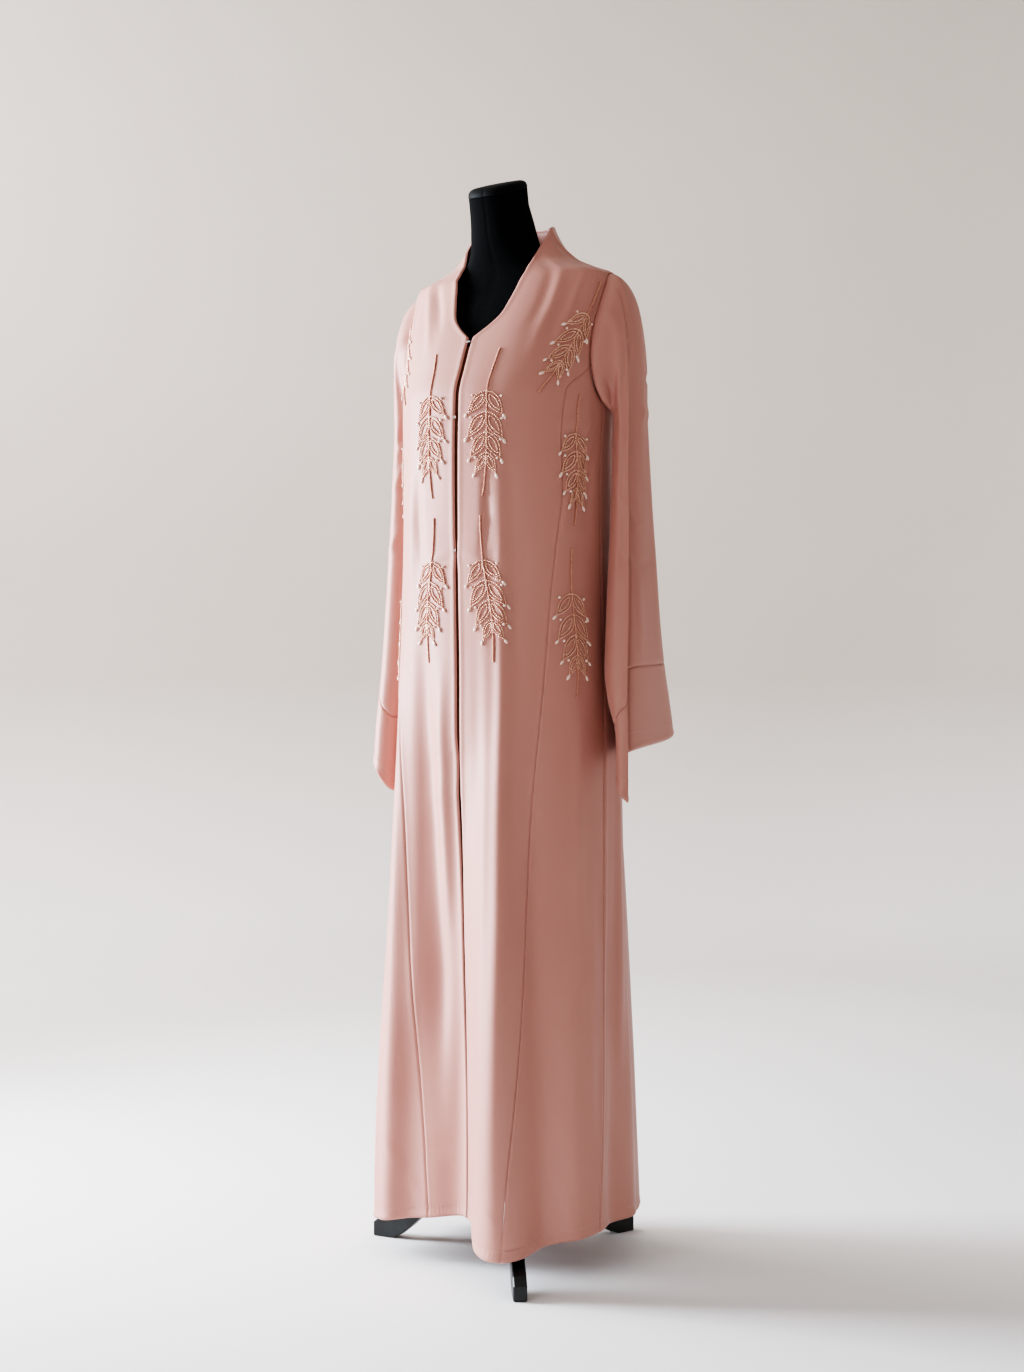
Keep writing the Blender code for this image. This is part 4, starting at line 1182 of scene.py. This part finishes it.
def crepe_material():
    """Satin-backed crepe: dusty pink, finely pebbled, with a soft bloom at grazing angles."""
    crepe = Surface("pink_crepe")
    cloudy = crepe.noise(9.0, 3.0, stretch=(1.0, 1.0, 0.35))
    pebble = crepe.noise(1150.0, 2.0, 0.6)
    twist = crepe.noise(2100.0, 1.0, stretch=(1.0, 1.0, 0.22))
    soft = crepe.ramp(cloudy, 0.3, 0.7, (0.494, 0.224, 0.182), (0.529, 0.249, 0.203))
    fine = crepe.ramp(pebble, 0.25, 0.75, (0.90, 0.90, 0.90), (1.0, 1.0, 1.0))
    normal = crepe.bump(pebble, 0.22, 0.0004)
    normal = crepe.bump(twist, 0.16, 0.0003, Normal=normal)
    normal = crepe.bump(crepe.noise(46.0, 3.0), 0.10, 0.0020, Normal=normal)
    return crepe.shaded(
        Base_Color=crepe.product(soft, fine),
        Normal=normal,
        Roughness=0.54,
        Specular_IOR_Level=0.58,
        Sheen_Weight=0.18,
        Sheen_Roughness=0.34,
        Sheen_Tint=(1.0, 0.96, 0.97, 1),
    )


def jersey_material():
    """Black cotton jersey stretched over padding, with fine knitted ribs."""
    jersey = Surface("black_jersey")
    ribs = jersey.noise(1500.0, 1.0, stretch=(1.0, 1.0, 0.18))
    lint = jersey.noise(260.0, 4.0, 0.7)
    return jersey.shaded(
        Base_Color=jersey.ramp(lint, 0.35, 0.8, (0.0018, 0.0024, 0.0026), (0.0046, 0.0056, 0.0060)),
        Normal=jersey.bump(ribs, 0.35, 0.0004),
        Roughness=0.85,
        Specular_IOR_Level=0.06,
        Sheen_Weight=0.010,
        Sheen_Roughness=0.5,
    )


def wood_material():
    """Black satin paint on wood: faint grain under it and rubbed, slightly paler patches."""
    wood = Surface("black_wood")
    grain = wood.noise(320.0, 4.0, stretch=(1.0, 1.0, 0.10))
    rub = wood.noise(24.0, 4.0, 0.65)
    dull = wood.node("ShaderNodeMapRange", Value=rub, To_Min=0.30, To_Max=0.48)
    return wood.shaded(
        Base_Color=wood.ramp(rub, 0.45, 0.80, (0.0065, 0.0090, 0.0095), (0.018, 0.023, 0.024)),
        Normal=wood.bump(grain, 0.25, 0.0004),
        Roughness=dull.outputs["Result"],
    )


def stage_material():
    """Seamless paper: near white underfoot, warmer and a little darker up the wall."""
    stage = Surface("pale_stage")
    height = stage.node("ShaderNodeSeparateXYZ", Vector=stage.where).outputs["Z"]
    paper = stage.ramp(height, 0.10, 0.90, (0.91, 0.91, 0.92), (0.62, 0.576, 0.542))
    grain = stage.ramp(stage.noise(1.6, 5.0), 0.3, 0.7, (0.97, 0.97, 0.97), (1.0, 1.0, 1.0))
    colour = stage.product(paper, grain)
    return stage.shaded(Base_Color=colour, Roughness=0.75, Specular_IOR_Level=0.2)


# ---- stage, light and camera
STAGE_RADIUS = 4.4
COVE = 1.3  # radius of the curve between the floor and the wall
STAGE_HEIGHT = 4.2


def stage(material):
    """A round studio: a flat floor that curves up into a wall."""
    flat = STAGE_RADIUS - COVE
    profile = [(radius, 0.0) for radius in (0.01, 0.6, 1.6, flat)]
    for turn in np.linspace(0, np.pi / 2, 14)[1:]:
        profile.append((flat + COVE * math.sin(turn), COVE * (1 - math.cos(turn))))
    profile.append((STAGE_RADIUS, STAGE_HEIGHT))
    angle = np.linspace(0, 2 * np.pi, 96, endpoint=False)
    radius, height = (np.array(column)[:, None] + 0 * angle for column in zip(*profile))
    grid = np.stack([radius * np.cos(angle), radius * np.sin(angle), height], -1)
    faces = grid_faces(len(profile), len(angle), True, 0, True)
    new_object("studio_stage", grid.reshape(-1, 3), faces, material)


VIEW_AZIMUTH = math.radians(32)
CAMERA_DISTANCE = 2.93
CAMERA_HEIGHT = 0.872
CAMERA_ASIDE = 0.0046
FOCAL_MM = 50.0
SENSOR_MM = 36.0
TOWARDS = np.array([math.sin(VIEW_AZIMUTH), -math.cos(VIEW_AZIMUTH), 0.0])
RIGHTWARDS = np.array([math.cos(VIEW_AZIMUTH), math.sin(VIEW_AZIMUTH), 0.0])


def studio_point(right, near, up):
    """A point so many metres right of the pole, towards the camera and up."""
    return POLE + RIGHTWARDS * right + TOWARDS * near + np.array([0.0, 0.0, up])


def camera():
    lens = bpy.data.cameras.new("view")
    lens.lens = FOCAL_MM
    lens.sensor_fit = "VERTICAL"
    lens.sensor_height = SENSOR_MM
    item = placed("view", lens)
    item.location = studio_point(CAMERA_ASIDE, CAMERA_DISTANCE, CAMERA_HEIGHT).tolist()
    item.rotation_euler = (math.radians(90), 0, VIEW_AZIMUTH)
    bpy.context.scene.camera = item


# Lights: their places as studio points, the points that they face, width and height, watts,
# colour and spread in degrees.
LIGHTS = (
    ("window", (-2.50, -0.42, 1.30), (0.0, 0.0, 0.95), (0.8, 2.2), 68.0, (0.86, 0.92, 1.0), 110.0),
    ("ceiling", (-1.1, 0.2, 3.7), (0.0, 0.0, 0.0), (3.0, 3.0), 13.5, (1.0, 0.935, 0.87), 180.0),
    ("front_fill", (-1.9, 2.2, 1.35), (0.15, 0.1, 1.0), (0.8, 1.6), 5.0, (0.95, 0.96, 1.0), 120.0),
    ("wall_wash", (-2.2, -1.2, 3.2), (-1.2, -4.2, 1.4), (1.6, 1.6), 100.0, (1.0, 0.96, 0.93), 180.0),
)


def lights():
    for name, place, aim, (width, height), watts, colour, spread in LIGHTS:
        lamp = bpy.data.lights.new(name, "AREA")
        lamp.shape = "RECTANGLE"
        lamp.size = width
        lamp.size_y = height
        lamp.energy = watts
        lamp.color = colour
        lamp.spread = math.radians(spread)
        item = placed(name, lamp)
        facing = unit(studio_point(*aim) - studio_point(*place))
        item.location = studio_point(*place).tolist()
        turn = math.atan2(facing[1], facing[0]) - math.pi / 2
        item.rotation_euler = (math.acos(-facing[2]), 0, turn)
        item.visible_camera = False


def ambient():
    """A weak, even, warm light from all sides."""
    world = bpy.data.worlds.new("studio")
    world.use_nodes = True
    sky = world.node_tree.nodes["Background"]
    sky.inputs["Color"].default_value = (1.0, 0.95, 0.90, 1)
    sky.inputs["Strength"].default_value = 0.255
    bpy.context.scene.world = world


# ---- the whole
# Flat sizes of the cut pieces: width and length of the rectangle each is cut from, and area.
CUTS = {
    "front": ((0.30, 1.54), 0.21),
    "side_front": ((0.20, 1.31), 0.165),
    "back": ((0.74, 1.56), 0.81),
    "sleeve": ((0.42, 0.68), 0.145),
    "cuff": ((0.44, 0.20), 0.042),
    "underlap": ((0.034, 0.61), 0.0205),
}


def garment_piece(item, kind, *nodes):
    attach(item, "root")
    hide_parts(*nodes)
    flat, area = CUTS[kind]


def trim(item):
    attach(item, "root")


def colour_response():
    """A soft film-like response: bright crepe pales towards white, as it does in daylight."""
    view = bpy.context.scene.view_settings
    view.view_transform = "AgX"
    view.look = "AgX - High Contrast"
    view.exposure = 0.5


SLEEVES = {
    "left": (SLEEVE_LEFT, CUFF_LEFT, SLEEVE_CREASES_LEFT),
    "right": (SLEEVE_RIGHT, CUFF_RIGHT, SLEEVE_CREASES_RIGHT),
}
WOODEN = ("stand_pole", "stand_hub", "stand_leg_front", "stand_leg_back", "stand_leg_right")
STEEL = ("hook_top", "snap_upper", "snap_lower")


def one_side(label, side, crepe, thread):
    """The front, side front, sleeve and cuff of the wearer's left (1) or right (-1)."""
    front = front_panel(f"front_{label}_cloth", side, crepe)
    garment_piece(front, "front", f"front_{label}")
    strip = side_panel(f"side_front_{label}_cloth", side, crepe)
    garment_piece(strip, "side_front", f"side_front_{label}")
    sleeve, ending, row = sleeve_and_cuff(label, side, *SLEEVES[label], crepe)
    garment_piece(sleeve, "sleeve", f"sleeve_{label}")
    garment_piece(ending, "cuff", f"cuff_{label}")
    trim(stitch_line(f"stitches_cuff_{label}", *row, thread))


def covered_form():
    torso, cap = dress_form(jersey_material(), grained("black_cap"))
    trim(torso)
    trim(cap)
    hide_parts("form_torso")
    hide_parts("form_cap")


def finish_hardware():
    """New materials on the CAD pieces that stay in view."""
    for names, material in ((WOODEN, wood_material()), (STEEL, grained("plated_steel"))):
        for name in names:
            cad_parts[name].data.materials[0] = material


def main():
    colour_response()
    crepe, thread = crepe_material(), grained("pink_thread")
    names = ("rose_gold_beads", "pearl_beads", "rose_gold_cord")
    bead_materials = [grained(name) for name in names]
    for label, side in (("left", 1), ("right", -1)):
        one_side(label, side, crepe, thread)
        for beads in beadwork(label, side, *bead_materials):
            trim(beads)
    garment_piece(back_panel("back_cloth", crepe), "back", "back")
    # the underlap's dark colour is painted shade, not the cloth's own colour
    garment_piece(underlap(grained("pink_crepe_painted_shade")), "underlap", "underlap")
    trim(hem_stitches(thread))
    trim(tack_stitches(thread))
    covered_form()
    finish_hardware()
    stage(stage_material())
    camera()
    lights()
    ambient()


main()
